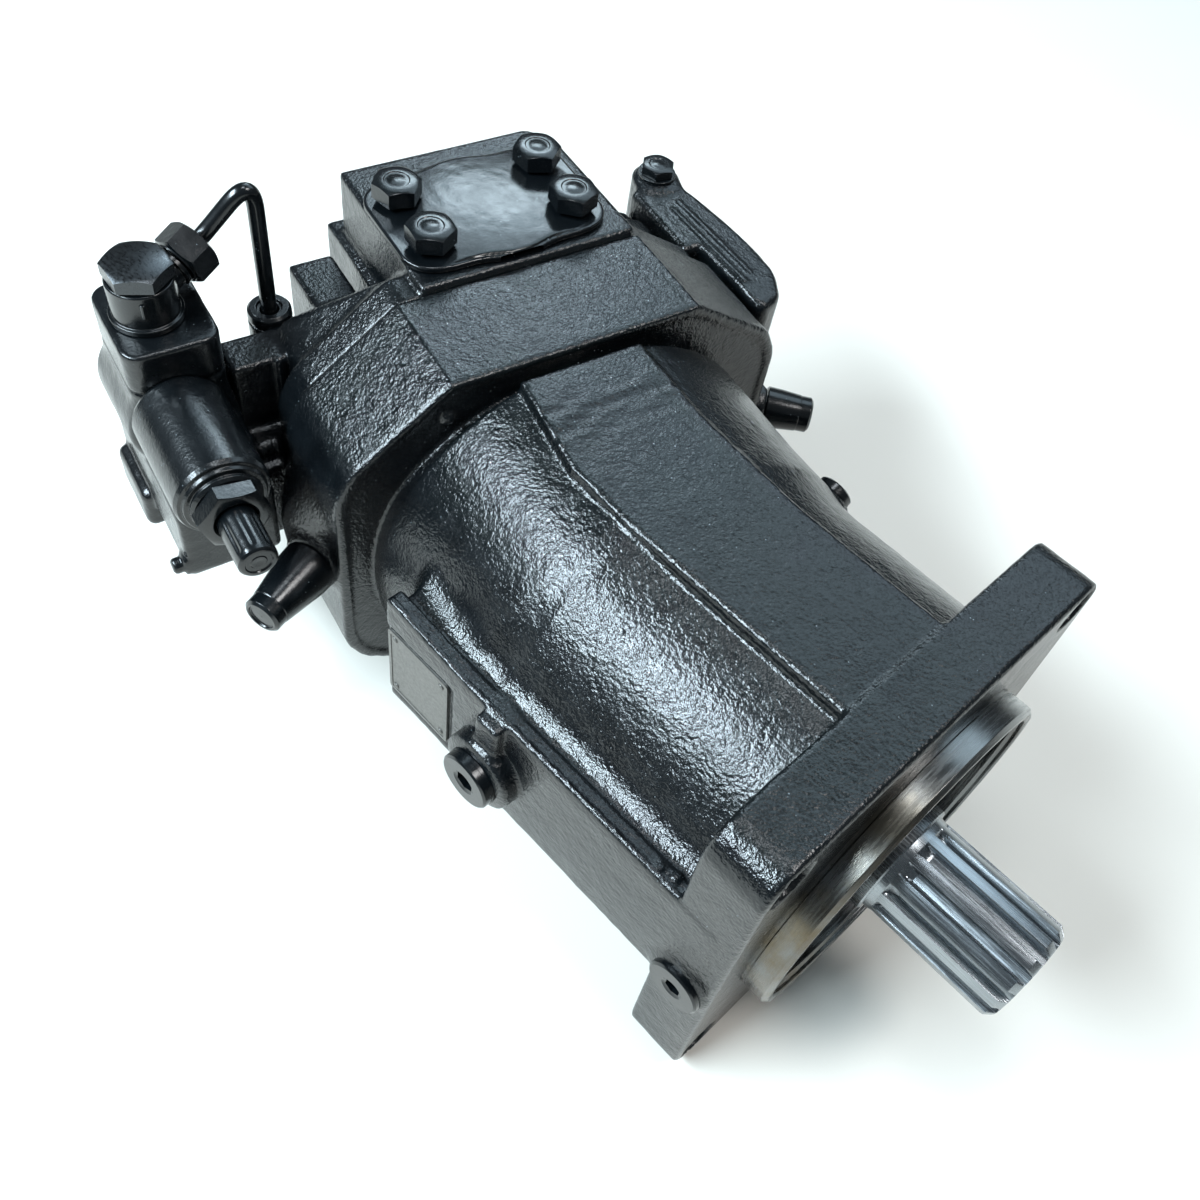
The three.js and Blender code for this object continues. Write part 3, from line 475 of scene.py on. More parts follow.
class Nodes:
    """Short-hand for building one material's node tree."""

    def __init__(self, name):
        self.material = bpy.data.materials.new(name)
        self.material.use_nodes = True
        self.tree = self.material.node_tree
        self.shader = self.tree.nodes["Principled BSDF"]
        self.where = self.add("ShaderNodeTexCoord").outputs["Object"]

    def add(self, kind, **inputs):
        node = self.tree.nodes.new(kind)
        for key, value in inputs.items():
            node.inputs[key.replace("_", " ")].default_value = value
        return node

    def link(self, source, target):
        self.tree.links.new(source, target)

    def stretched(self, scale):
        node = self.add("ShaderNodeMapping")
        node.inputs["Scale"].default_value = scale
        self.link(self.where, node.inputs["Vector"])
        return node.outputs["Vector"]

    def noise(self, scale, detail=2.0, roughness=0.5, where=None):
        node = self.add("ShaderNodeTexNoise", Scale=scale, Detail=detail, Roughness=roughness)
        self.link(where or self.where, node.inputs["Vector"])
        return node.outputs["Fac"]

    def cells(self, scale):
        node = self.add("ShaderNodeTexVoronoi", Scale=scale)
        self.link(self.where, node.inputs["Vector"])
        return node

    def ramp(self, source, stops):
        node = self.tree.nodes.new("ShaderNodeValToRGB")
        elements = node.color_ramp.elements
        while len(elements) < len(stops):
            elements.new(0.5)
        for element, (position, colour) in zip(elements, stops):
            element.position = position
            element.color = (*colour, 1) if len(colour) == 3 else colour
        self.link(source, node.inputs["Fac"])
        return node.outputs["Color"]

    def remap(self, source, low, high, to_low, to_high):
        node = self.tree.nodes.new("ShaderNodeMapRange")
        for key, value in (("From Min", low), ("From Max", high), ("To Min", to_low), ("To Max", to_high)):
            node.inputs[key].default_value = value
        self.link(source, node.inputs["Value"])
        return node.outputs["Result"]

    def math(self, operation, a, b):
        node = self.tree.nodes.new("ShaderNodeMath")
        node.operation = operation
        for socket, value in zip(node.inputs, (a, b)):
            if isinstance(value, (int, float)):
                socket.default_value = value
            else:
                self.link(value, socket)
        return node.outputs["Value"]

    def mix(self, factor, a, b):
        node = self.tree.nodes.new("ShaderNodeMix")
        node.data_type = "RGBA"
        self.link(factor, node.inputs["Factor"])
        for socket, value in ((node.inputs["A"], a), (node.inputs["B"], b)):
            colours = [s for s in node.inputs if s.type == "RGBA" and s.name == socket.name]
            if isinstance(value, tuple):
                colours[0].default_value = (*value, 1)
            else:
                self.link(value, colours[0])
        return [s for s in node.outputs if s.type == "RGBA"][0]

    def bump(self, height, distance, after=None):
        node = self.add("ShaderNodeBump", Strength=1.0, Distance=distance)
        self.link(height, node.inputs["Height"])
        if after:
            self.link(after, node.inputs["Normal"])
        return node.outputs["Normal"]

    def finish(self, colour=None, roughness=None, normal=None, **fixed):
        for socket, value in (("Base Color", colour), ("Roughness", roughness), ("Normal", normal)):
            if value is not None:
                self.link(value, self.shader.inputs[socket])
        for key, value in fixed.items():
            self.shader.inputs[key.replace("_", " ")].default_value = value
        return self.material


# The last colour is that of the pale painted glint specks on the black paint.
PAINT_DARK, PAINT_LIGHT, PAINT_GLINT = (0.0015, 0.0023, 0.003), (0.0035, 0.005, 0.0062), (0.1, 0.12, 0.13)


def black_paint(name, sand, sag, roughness=0.22):
    """Gloss black paint, with sparse pale specks that are painted glints; sand and sag are the depths, in mm,
    of its fine and its broad unevenness.
    """
    n = Nodes(name)
    fine = n.noise(700, 2.0, 0.6)
    coarse = n.noise(330, 1.0, 0.5)
    tone = n.ramp(n.noise(60, 4.0), [(0.3, PAINT_DARK), (0.75, PAINT_LIGHT)])
    # Sparse pale specks mixed into the colour are painted glints, standing in for highlights on the sand
    # grain.
    glint_cells = n.cells(420)
    glint_speck = n.math("LESS_THAN", glint_cells.outputs["Distance"], 0.1)
    chosen = n.math("GREATER_THAN", n.noise(190, 2.0), 0.6)
    colour = n.mix(n.math("MULTIPLY", glint_speck, chosen), tone, PAINT_GLINT)
    gloss = n.remap(n.noise(120, 3.0), 0.3, 0.75, roughness - 0.03, roughness + 0.06)
    normal = n.bump(coarse, sag * MM)
    normal = n.bump(fine, sand * MM, after=normal)
    return n.finish(colour, gloss, normal, IOR=1.52)


def steel(name, base, roughness, streak, stain=None, grain=0.02):
    """Bare machined steel; streak is the mapping scale that stretches its tool marks."""
    n = Nodes(name)
    marks = n.noise(1.0, 4.0, 0.65, n.stretched(streak))
    patches = n.noise(35, 4.0, 0.6)
    darker = tuple(c * 0.62 for c in base)
    colour = n.ramp(n.math("ADD", n.math("MULTIPLY", marks, 0.6), n.math("MULTIPLY", patches, 0.4)),
                    [(0.3, darker), (0.62, base)])
    if stain:
        low = n.add("ShaderNodeSeparateXYZ")
        n.link(n.where, low.inputs["Vector"])
        spots = n.ramp(n.noise(22, 5.0, 0.65), [(0.4, (0, 0, 0)), (0.66, (1, 1, 1))])
        side = n.remap(low.outputs["Y"], ORIGIN[1] + 0.01, ORIGIN[1] - 0.06, 0.0, 0.9)
        colour = n.mix(n.math("MULTIPLY", spots, side), colour, stain)
    gloss = n.remap(marks, 0.3, 0.7, roughness - 0.08, roughness + 0.12)
    normal = n.bump(marks, grain * MM)
    return n.finish(colour, gloss, normal, Metallic=1.0)


def plain_solid(name, dark, light, scale, roughness, metallic=0.0, depth=0.03):
    n = Nodes(name)
    cloud = n.noise(scale, 4.0, 0.6)
    colour = n.ramp(cloud, [(0.3, dark), (0.7, light)])
    gloss = n.remap(n.noise(scale * 2.3, 3.0), 0.3, 0.7, roughness - 0.07, roughness + 0.1)
    return n.finish(colour, gloss, n.bump(cloud, depth * MM), Metallic=metallic)


CAST = black_paint("cast_black", 0.36, 0.22)
SMOOTH = black_paint("machined_black", 0.03, 0.02, 0.2)
TURNED = black_paint("turned_black", 0.12, 0.1, 0.24)
DARK_BOLT = black_paint("bolt_black", 0.05, 0.05, 0.2)
SHAFT_STEEL = steel("shaft_steel", (0.34, 0.365, 0.385), 0.24, (60, 1400, 1400))
PILOT_STEEL = steel("pilot_steel", (0.2, 0.205, 0.205), 0.24, (900, 60, 60), stain=(0.12, 0.085, 0.04))
BEARING_STEEL = steel("bearing_steel", (0.62, 0.63, 0.64), 0.2, (500, 200, 200))
SPRING_STEEL = steel("spring_steel", (0.34, 0.35, 0.36), 0.35, (400, 400, 400))
HEAD_STEEL = steel("rough_head", (0.085, 0.09, 0.095), 0.3, (500, 900, 900), grain=0.05)
CAST_STEEL = plain_solid("cast_steel", (0.2, 0.21, 0.22), (0.34, 0.35, 0.36), 250, 0.42, 0.9)
BRONZE = plain_solid("bronze", (0.42, 0.27, 0.11), (0.6, 0.42, 0.2), 180, 0.35, 1.0)
RUBBER = plain_solid("seal_rubber", (0.012, 0.012, 0.012), (0.03, 0.03, 0.03), 400, 0.6)
PLATE = plain_solid("name_plate", (0.1, 0.097, 0.09), (0.14, 0.135, 0.125), 500, 0.38, 0.5)

# ---- housing ----

BARREL_R, REAR_R = 90.5, 94.0
BARREL_TOP, PANEL_TOP = 91.2, 91.7
REAR_END = -79.5
UNDERSIDE = -92.9
COLLAR = [
    (57, 95), (-57, 95), (-100, 63), (-107.5, 48), (-107.5, -48), (-100, -63), (-57, -93), (57, -93),
    (100, -63), (107.5, -48), (108.5, 50), (101.5, 65),
]
COLLAR_FRONT, COLLAR_BACK = -85, -136
HOLE_AT, HOLE_R, HOLE_SEAT_R = 80.8, 9.4, 14
DRAIN = (-119, 8)
FLANGE_PLUG = (-14, -12)
SENSOR_X = -110
SENSOR_RISE = math.radians(24.5)
# For each stop screw: its side, its line's tilt, and how far that line's foot is from the pivot. Then where
# along the line its tip, its boss's face and its cap's end are.
STOPS = {
    "left": dict(side=-1, tilt=math.radians(30), arm=144, tip=11.5, face=49, end=83),
    "right": dict(side=1, tilt=math.radians(40), arm=152, tip=-14, face=33, end=56.5),
}


def stop_axis(stop):
    """Start point and direction of a stop screw's line, in the rear frame."""
    foot = (-stop["arm"] * math.cos(stop["tilt"]), stop["side"] * stop["arm"] * math.sin(stop["tilt"]))
    return foot, (math.sin(stop["tilt"]), stop["side"] * math.cos(stop["tilt"]))


def along_stop(xr, yr, z, stop):
    (fx, fy), (dx, dy) = stop_axis(stop)
    t = (xr - fx) * dx + (yr - fy) * dy
    off = (xr - fx) * -dy + (yr - fy) * dx
    return t, np.hypot(off, z)


def along_sensor(x, y, z):
    """Distance along and off the axis of the plug on the barrel's right side."""
    t = y * math.cos(SENSOR_RISE) + z * math.sin(SENSOR_RISE)
    off = np.hypot(x - SENSOR_X, -y * math.sin(SENSOR_RISE) + z * math.cos(SENSOR_RISE))
    return t, off


def barrel_field(x, y, z, xr, yr):
    """Two turned lengths that meet at the bend, and the neck behind them."""
    rear_radial = np.hypot(yr, z)
    front_r = BARREL_R - np.clip((-x - 126) * 0.6, 0, 30)
    front = rmax((np.hypot(y, z) - front_r) * 0.9, span(x, -160, -12), 2)
    rear_r = REAR_R - np.clip((xr + 5) * 0.34, 0, 30)
    rear = rmax((rear_radial - rear_r) * 0.95, span(xr, REAR_END, 40), 1.5)
    body = rmax(blend(front, rear, 8), z - BARREL_TOP, 2)
    neck_r = 84 + np.clip((-yr - 25) * 0.14, 0, 8)
    return np.minimum(body, rmax(rear_radial - neck_r, span(xr, -100, -20), 2))


def panel_field(x, y, z, xr):
    """Raised panel on top, which widens to the rear and has soft ripples across the bend."""
    left_x, left_y = [-210, -160, -128, -20], [-10.4, -26, -28.2, -28.2]
    right_x, right_y = [-200, -150, -92, -20], [43, 33.5, 28.2, 28.2]
    edges = np.maximum(y - np.interp(x, right_x, right_y), np.interp(x, left_x, left_y) - y) * 0.97
    wander = 2.5 * np.sin(y * 0.07) + 1.6 * np.sin(y * 0.19 + 1)
    ripple = 0.34 * np.sin((xr + wander) * 0.62) + 0.2 * np.sin((xr - wander) * 1.05 + 2)
    ripple = ripple * np.exp(-((xr + 54) / 11) ** 2)
    height = PANEL_TOP + ripple + 0.9 / (1 + np.exp((xr + wander * 0.5 + 55) * 0.28))
    panel = rmax(edges, span(z, 55, height), 1.1)
    return rmax(rmax(panel, REAR_END - xr, 1.2), x + 6, 1.0)


def with_side_box(body, x, y, z):
    """Adds the left side's box with its rail and name plate recess, and the drain boss with its gusset."""
    body = rmin(body, block(x, y, z, -183, -8, -95, -38, -22, 38.6, 2.2), 8)
    rise = np.clip((-x - 135) * 0.1, 0, 4)
    rail = block(x, y, z - rise, -183, -8, -95, -87.2, 10, 41.0, 1.0)
    seam = block(x, y, z - rise, -182, -24, -94.6, -92.8, 15, 41.8, 0.7)
    lumps = np.minimum(ball(x + 33, y + 89, z - 40.6, 2.2), ball(x + 39, y + 91, z - 40.8, 1.8))
    recess = block(x, y, z, -184.5, -143.5, -98, -94.2, -17, 29, 0.8)
    body = carve(join(body, (join(rail, (seam, 0.6), (lumps, 1.0)), 1.2)), recess, 0.6)
    u, w = x - DRAIN[0], z - DRAIN[1]
    boss = pillar(u, w, y, 17, -103.6, -60, 1.2)
    gusset = block(x, y, z, -125, -113, -100.5, -86, 0, 40.4, 1.5)
    body = rmin(body, rmin(boss, gusset, 2), 1.5)
    return np.minimum(body, pillar(u, w, y, 14.6, -104.4, -90, 0.6))


def collar_field(xr, yr, z):
    """Collar at the joint, with a rim round its front face and a cast seam along its two top corners."""
    collar = rmax(convex(yr, z, COLLAR, 2.2), span(xr, COLLAR_BACK, COLLAR_FRONT), 1.8)
    inner = convex(yr, z, [(a * 0.955, b * 0.955) for a, b in COLLAR], 3.0)
    collar = carve(collar, rmax(inner, span(xr, COLLAR_FRONT - 1.2, COLLAR_FRONT + 30), 0.6), 1.0)
    for side in (-1, 1):
        seam = pillar(yr - side * 56.2, z - 94.3, xr, 1.1, COLLAR_BACK, COLLAR_FRONT, 0.6)
        collar = rmin(collar, seam, 0.8)
    return collar


def with_cuts(body, x, y, z, xr, yr):
    """Cuts the bolt holes, the shaft's bores, the rotating group's room and the plug and screw holes."""
    for a in (-1, 1):
        for b in (-1, 1):
            u, v = y - a * HOLE_AT, z - b * HOLE_AT
            body = carve(body, pillar(u, v, x, HOLE_R, -30, 10, 0.2), 0.4)
            body = carve(body, pillar(u, v, x, HOLE_SEAT_R, -60, -26.7, 0.5), 1.0)
    # pilot recess, front bearing, the shoulder behind it, rear bearing, and room for the shaft's drive flange
    for radius, low, high, edge in (
        (73, -18.8, 20, 0.3), (52, -47, 0, 0.3), (46, -60, 0, 0.3), (60, -95, -51, 0.3), (74, -146, -89, 1),
    ):
        body = carve(body, pillar(y, z, x, radius, low, high, edge), 0.5)
    room = [(34, -60), (34, 60), (-20, 71), (-100, 84), (-150, 88), (-150, -88), (-100, -84), (-20, -71)]
    room_r = 87 - np.clip((xr + 60) * 0.0745, 0, 7)
    swing = np.maximum(np.maximum(convex(xr, yr, room, 2), np.abs(z) - 62), np.hypot(yr, z) - room_r)
    lens_room = block(xr, yr, z, -150, -117, -87, 87, -49, 49, 2)
    body = carve(body, np.minimum(swing, lens_room), 1.0)
    body = carve(body, pillar(x - DRAIN[0], z - DRAIN[1], y, 9.2, -110, -70, 0.3), 0.6)
    body = carve(body, pillar(x - FLANGE_PLUG[0], z - FLANGE_PLUG[1], y, 6.2, -100, -80, 0.3), 0.6)
    t, off = along_sensor(x, y, z)
    body = carve(body, rmax(off - 6.3, span(t, 83, 100), 0.3), 0.5)
    for stop in STOPS.values():
        t, off = along_stop(xr, yr, z, stop)
        body = carve(body, rmax(off - 6.6, span(t, stop["tip"] - 16, stop["face"] + 4), 0.3), 0.4)
    return body


def housing_field(x, y, z):
    xr, yr = to_rear(x, y)
    body = rmin(barrel_field(x, y, z, xr, yr), panel_field(x, y, z, xr), 1.3)
    body = with_side_box(body, x, y, z)
    flange = rmax(rounded_plan(y, z, 95, 93, 15), span(x, -26.5, 0), 1.6)
    plug_boss = pillar(x + 15, z - FLANGE_PLUG[1], y, 13.0, -96.5, -80, 1.5)
    wart = ball(xr + 87, yr + 58, z - 78, 3.6)
    swelling = ball(xr + 118, yr + 92, (z - 5) * 0.85, 26.5)
    body = join(
        body, (flange, 1.6), (plug_boss, 2.5), (collar_field(xr, yr, z), 1.5), (wart, 1.5), (swelling, 8))
    for stop in STOPS.values():
        t, off = along_stop(xr, yr, z, stop)
        flare = np.clip(stop["face"] - 3 - t, 0, 30) * (0.45 if stop["side"] < 0 else 0.1)
        body = rmin(body, rmax(off - 13 - flare, span(t, stop["face"] - 34, stop["face"] - 0.3), 1.2), 5)
    t, off = along_sensor(x, y, z)
    body = rmin(body, rmax(off - 10.5, span(t, 80, 95.6), 1.0), 2.0)
    return rmax(with_cuts(body, x, y, z, xr, yr), UNDERSIDE - z, 1.0)


def housing_machined(p):
    return (p[:, 0] > -1.0) | ((np.hypot(p[:, 1], p[:, 2]) < 80) & (p[:, 0] > -150))


housing = casting(
    "housing_casting", housing_field, (-275, -112, -97), (4, 140, 99), 1.25, CAST,
    machined=housing_machined,
)
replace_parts(housing, "housing")

pilot = lathe([
    (-18.6, 72.8), (-18.6, 70), (-8.2, 70), (-8.2, 72.4), (-4.6, 72.4), (-4.6, 70), (9.0, 70),
    (10.2, 71.2), (11.6, 71.2), (12.2, 71.8), (12.2, 74.4), (10.4, 76.2), (1.6, 76.2), (1.6, 75.4),
    (-0.6, 75.4), (-0.6, 72.8),
], 180, 0.25, True)
mesh_object("pilot_ring", *pilot, PILOT_STEEL, sharp=32)


# ---- plugs, name plate and stop caps ----

def to_left(shape, x, y, z):
    return shift(turn(shape[0], "Z", -math.pi / 2), x, y, z), shape[1]


drain_screw = to_left(socket_cap(9, 14, 12.5, 5, 8), DRAIN[0], -104.6, DRAIN[1])
stand_in("drain_plug", "drain_screw", drain_screw, SMOOTH)
flange_screw = to_left(socket_cap(6, 10, 12.0, 3.8, 6.5), FLANGE_PLUG[0], -95.2, FLANGE_PLUG[1])
stand_in("flange_plug", "flange_screw", flange_screw, SMOOTH)
points, faces = socket_cap(6, 10, 8.5, 4, 5)
points = shift(turn(turn(shift(points, 96), "Z", math.pi / 2), "X", SENSOR_RISE), SENSOR_X)
stand_in("side_plug", "sensor_screw", (points, faces), SMOOTH)


BORDER = 1.6


def name_plate():
    """Thin plate with a raised border and four rivets, left blank."""
    x0, x1, z0, z1, y = -182, -146, -15, 27, -95
    shapes = []
    outline = soften([(x0, z0), (x1, z0), (x1, z1), (x0, z1)], 1.5)
    a0, a1, b0, b1 = x0 + BORDER, x1 - BORDER, z0 + BORDER, z1 - BORDER
    inset = soften([(a0, b0), (a1, b0), (a1, b1), (a0, b1)], 1.0)

    def layer(points, depth):
        return np.array([(a, depth, b) for a, b in points])

    rings = [np.array([[-164, y + 0.7, 6]]), layer(outline, y + 0.7), layer(outline, y - 0.25)]
    rings += [layer(inset, y - 0.3), layer(inset, y - 0.02), np.array([[-164, y - 0.02, 6]])]
    shapes.append(rings_solid(rings))
    for a in (x0 + 4, x1 - 4):
        for b in (z0 + 4, z1 - 4):
            rivet = lathe([(-0.6, 0), (-0.6, 1.7), (0.5, 1.5), (0.9, 0)], 24, 0.5)
            shapes.append(to_left(rivet, a, y, b))
    return merge(*shapes)


stand_in("name_plate", "blank_plate", name_plate(), PLATE, slot="plate")

for label, stop in STOPS.items():
    (foot_x, foot_y), (dir_x, dir_y) = stop_axis(stop)
    face, end = stop["face"], stop["end"]
    base_r, end_r = (12.5, 8.9) if label == "left" else (10.2, 9.0)
    cap = lathe([
        (face, 6.8), (face, base_r - 0.8), (face + 0.8, base_r), (face + 7, base_r - 0.3),
        (end - 6.5, end_r), (end - 6.1, end_r - 0.25), (end - 1.2, end_r - 0.3), (end, end_r - 1.6),
        (end, end_r - 2.6), (end - 0.9, end_r - 3.0), (end - 0.7, 0.01), (end - 4, 0.01), (end - 4, 6.8),
    ], 96, 0.35, True)
    tip = stop["tip"]
    screw = lathe([(tip, 0), (tip, 5), (tip + 1.5, 6), (end - 8, 6), (end - 7, 5), (end - 7, 0)], 48, 0.3)
    for name, (points, faces), material, slot in (
        ("stop_cap_", cap, DARK_BOLT, "black_paint"), ("stop_screw_", screw, SPRING_STEEL, "spring_steel"),
    ):
        points = shift(turn(points, "Z", math.atan2(dir_y, dir_x)), foot_x, foot_y)
        stand_in(name + label, name + label + "_shape", (points, faces), material, slot=slot, rear=True)

# ---- drive shaft, seal and retaining ring ----

TEETH = 13


def spline_radius(angle, tip=22.2, root=18.7):
    """Tooth profile: flat tips and roots with straight flanks."""
    phase = (angle * TEETH / (2 * math.pi) + 0.5) % 1 - 0.5
    flank = np.clip((0.315 - np.abs(phase)) / 0.08, 0, 1)
    flank = flank * flank * (3 - 2 * flank) * 0.25 + flank * 0.75
    return root + (tip - root) * flank


def splined_end():
    samples = TEETH * 28
    tooth = spline_radius(np.arange(samples) * 2 * math.pi / samples)

    def ring(x, limit, floor=0.0):
        return ring_at(x, np.maximum(np.minimum(tooth, limit), floor))

    def disc(x, radius):
        return ring_at(x, np.full(samples, float(radius)))

    rings = [np.array([[-20.0, 0, 0]]), disc(-20, 24.9), disc(12.4, 24.9), disc(13.0, 24.4)]
    rings += [disc(13.1, 22.6), disc(16.0, 22.2)]
    for k in range(9):
        t = k / 8
        rings.append(ring(16.2 + 5.0 * t, 22.2, 22.2 - 3.2 * math.sin(t * math.pi / 2)))
    rings += [ring(21.4, 30), ring(69.4, 30), ring(70.0, 22.1), ring(72.4, 19.9), ring(72.9, 19.2)]
    rings += [disc(SHAFT_END, 18.6), disc(SHAFT_END, 6.5), disc(72.0, 5.2), disc(70.0, 3.2)]
    rings.append(np.array([[69.0, 0, 0]]))
    return rings_solid(rings)


inner_shaft = lathe([
    (-19, 0), (-19, 27.4), (-49, 27.4), (-49, 32), (-88, 32), (-90, 40), (-92, 54), (-95, 57), (-119.5, 57),
    (-119.5, 53.2), (-117.5, 53.2), (-117.5, 0),
], 120, 0.6)
stand_in(
    "drive_shaft", "splined_shaft", merge(splined_end(), inner_shaft), SHAFT_STEEL, sharp=28, body="shaft",
    slot="shaft_steel")

cover = lathe([
    (-8.6, 35.4), (-8.6, 44), (-10.4, 46), (-10.4, 60), (-8.8, 62), (-8.8, 69.6), (-16.7, 69.6),
    (-16.7, 35.4),
], 144, 0.5, True)
stand_in("seal_cover", "seal_carrier", cover, SMOOTH)
seal = lathe([
    (-9.4, 35.0), (-9.4, 29.0), (-10.6, 27.4), (-12.2, 25.3), (-13.4, 26.4), (-12.4, 29), (-12.4, 32),
    (-16.4, 32), (-16.4, 35.0),
], 120, 0.4, True)
stand_in("shaft_seal", "lip_seal", seal, RUBBER, slot="seal_rubber")


def retaining_ring():
    """Internal snap ring with a gap and two lugs."""
    rings = []
    gap = math.radians(9)
    count = 120
    for i in range(count + 1):
        a = gap + (2 * math.pi - 2 * gap) * i / count + math.pi / 2
        near = min(i, count - i) / count
        inner = 65.8 - 4.6 * math.exp(-((near / 0.018) ** 2))
        outline = soften([(-5.1, inner), (-5.1, 72.2), (-7.7, 72.2), (-7.7, inner)], 0.3)
        rings.append(np.array([(x, r * math.cos(a), r * math.sin(a)) for x, r in outline]))
    return rings_solid([rings[0].mean(0)[None]] + rings + [rings[-1].mean(0)[None]])


stand_in("snap_ring", "snap_ring_shape", retaining_ring(), SPRING_STEEL, slot="spring_steel")

# ---- port plate ----

PORT = (-172.0, 2.4)
PAD_TOP = 97.0
PORT_R, SCREW_R, LOBE_R = 15.5, 6.3, 14
SCREW_X, SCREW_Y = 15.9, 33.35
SCREWS = [(PORT[0] + a * SCREW_X, PORT[1] + b * SCREW_Y) for a in (-1, 1) for b in (-1, 1)]
PIPE_FOOT = (-192.0, -90.0, 60.0)
STROKE_X = -188
TRACK_R, LENS_HALF = 150, 46


def port_plate_field(x, y, z):
    def upright_bore(centre, radius, low, high):
        return pillar(x - centre[0], y - centre[1], z, radius, low, high, 0.3)

    rim_plan = convex(y, z, [(a - math.copysign(3, a), b - math.copysign(1.5, b)) for a, b in COLLAR], 2.5)
    scoop = pillar(x + 139, y + 84, z, 26, 14, 80, 3)
    scoop = np.minimum(scoop, block(x, y, z, -163, -100, -130, -98, 14, 80, 3))
    web = carve(block(x, y, z, -182, -145, -118, -20, -30, 58, 2.2), scoop, 2.0)
    slope = ((z - 66) + (x + 176) * -1.15) / 1.52
    apron_plan = convex(y, z, [(57, 90), (-54, 90), (-93, 60), (-93, 20), (93, 20), (93, 60)], 2)
    pad_plan = convex(x, y, [(-137, -44), (-137, 57), (-208, 56), (-218, 47), (-219, -44)], 2.0)
    body = join(
        block(x, y, z, -235, -140, -34, 60, -62, 60, 9),
        (pillar(x - STROKE_X, z, y, 25, -118, 100, 3), 8),
        (block(x, y, z, -210, -150, -118, 100, -22, 22, 5), 5),
        (web, 3),
        (block(x, y, z, -205, -145, 20, 100, -30, 50, 6), 6),
        (block(x, y, z, -207, -150, -75, -54.5, -40, 66, 1.6), 3),
        (block(x, y, z, -228, -150, -48, -30, -40, 66, 1.6), 3),
        (rmax(rmax(slope, span(x, -178, -150), 1.5), apron_plan, 1.5), 3),
        (rmax(rim_plan, span(x, -152, -136.3), 1.6), 4),
        (pillar(x - PIPE_FOOT[0], y - PIPE_FOOT[1], z, 9.6, 10, 54, 1.0), 4),
        (rmax(pad_plan, span(z, 46, PAD_TOP), 1.3), 3),
        (block(x, y, z, -219, -143, -44, 57, -93, -46, 1.5), 5),
    )
    # the two ports and their kidneys, the lens's track, its pin's slot, the stroke bore and the pipe's bore
    for hollow in (
        upright_bore(PORT, PORT_R, 34, 120), upright_bore(PORT, PORT_R, -120, -34),
        pillar(y, z + 34, x, 11, PORT[0], -100, 0.5), pillar(y, z - 34, x, 11, PORT[0], -100, 0.5),
        rmax(np.hypot(x, y) - TRACK_R, np.abs(z) - (LENS_HALF + 1), 0.3),
        block(x, y, z, STROKE_X, -138, -LENS_HALF, LENS_HALF, -7, 7, 1),
        pillar(x - STROKE_X, z, y, 16, -130, 110, 0.3), upright_bore(PIPE_FOOT, 4, 30, 70),
    ):
        body = carve(body, hollow, 0.7)
    for screw in SCREWS:
        body = carve(body, upright_bore(screw, SCREW_R, 73, 120), 0.5)
        body = carve(body, upright_bore(screw, SCREW_R, -120, -69), 0.5)
    return rmax(body, UNDERSIDE - z, 0.6)


def port_plate_machined(p):
    track = (np.hypot(p[:, 0], p[:, 1]) < TRACK_R + 1) & (np.abs(p[:, 2]) < LENS_HALF + 2)
    return (p[:, 2] > PAD_TOP - 0.8) | (p[:, 2] < -92.2) | (p[:, 0] > -137) | track


port_plate = casting(
    "port_casting", port_plate_field, (-240, -122, -97), (-130, 110, 101), 1.2, CAST, rear=True,
    machined=port_plate_machined,
)
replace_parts(port_plate, "port_plate")


# ---- port cover and screws ----

def cover_field(x, y, z):
    """Cover with a lobe round each screw, a thin foot and a slightly crowned top."""
    plan = None
    for sx, sy in SCREWS:
        lobe = np.hypot(x - sx, y - sy) - LOBE_R
        plan = lobe if plan is None else np.minimum(plan, lobe)
    u, v = x - PORT[0], y - PORT[1]
    ends = np.maximum(np.abs(u) - SCREW_X, np.abs(np.abs(v) - SCREW_Y) - LOBE_R)
    middle = rmax(np.hypot(u, v) - 34.5, np.abs(v) - 40, 4)
    plan = rmin(np.minimum(plan, ends), middle, 14)
    base = rmax(plan, span(z, PAD_TOP + 0.3, PAD_TOP + 3.1), 0.6)
    dome = PAD_TOP + 5.2 - np.hypot(u, v) ** 2 * 0.0011
    upper = rmax(plan + 1.5, span(z, PAD_TOP + 0.6, dome), 1.0)
    body = np.minimum(base, upper)
    for sx, sy in SCREWS:
        body = carve(body, np.hypot(x - sx, y - sy) - SCREW_R, 0.3)
    return body


cover_piece = casting(
    "port_cover", cover_field, (-205, -48, 96), (-139, 53, 103.5), 0.6, SMOOTH, rear=True, rough=0.05)
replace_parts(cover_piece, "top_port_cover")


def hex_screw(radius, length, across_flats, height):
    """Hexagon head on the origin with its shank along -X."""
    shank = [(-length, 0), (-length, radius - 1), (1 - length, radius), (0.5, radius), (0.5, 0)]
    return merge(hex_head(across_flats, height), lathe(shank, 48, 0.2))


SEAT = PAD_TOP + 5.3
for i, (sx, sy) in enumerate(SCREWS):
    screw = moved(upright(hex_screw(6, 25, 18.5, 8.2), 0.3 + 0.9 * i), sx, sy, SEAT)
    stand_in(f"top_cover_screw_{i + 1}", f"cover_screw_{i + 1}", screw, DARK_BOLT, 30, rear=True)

# ---- control valve ----

VALVE_Y, VALVE_Z = -143.0, 50.0
VALVE_PLAN = (-181.5, -139.2)
VALVE_FACE = -124
BANJO = (-181.5, -141.8)
STUD = (-128, -6)


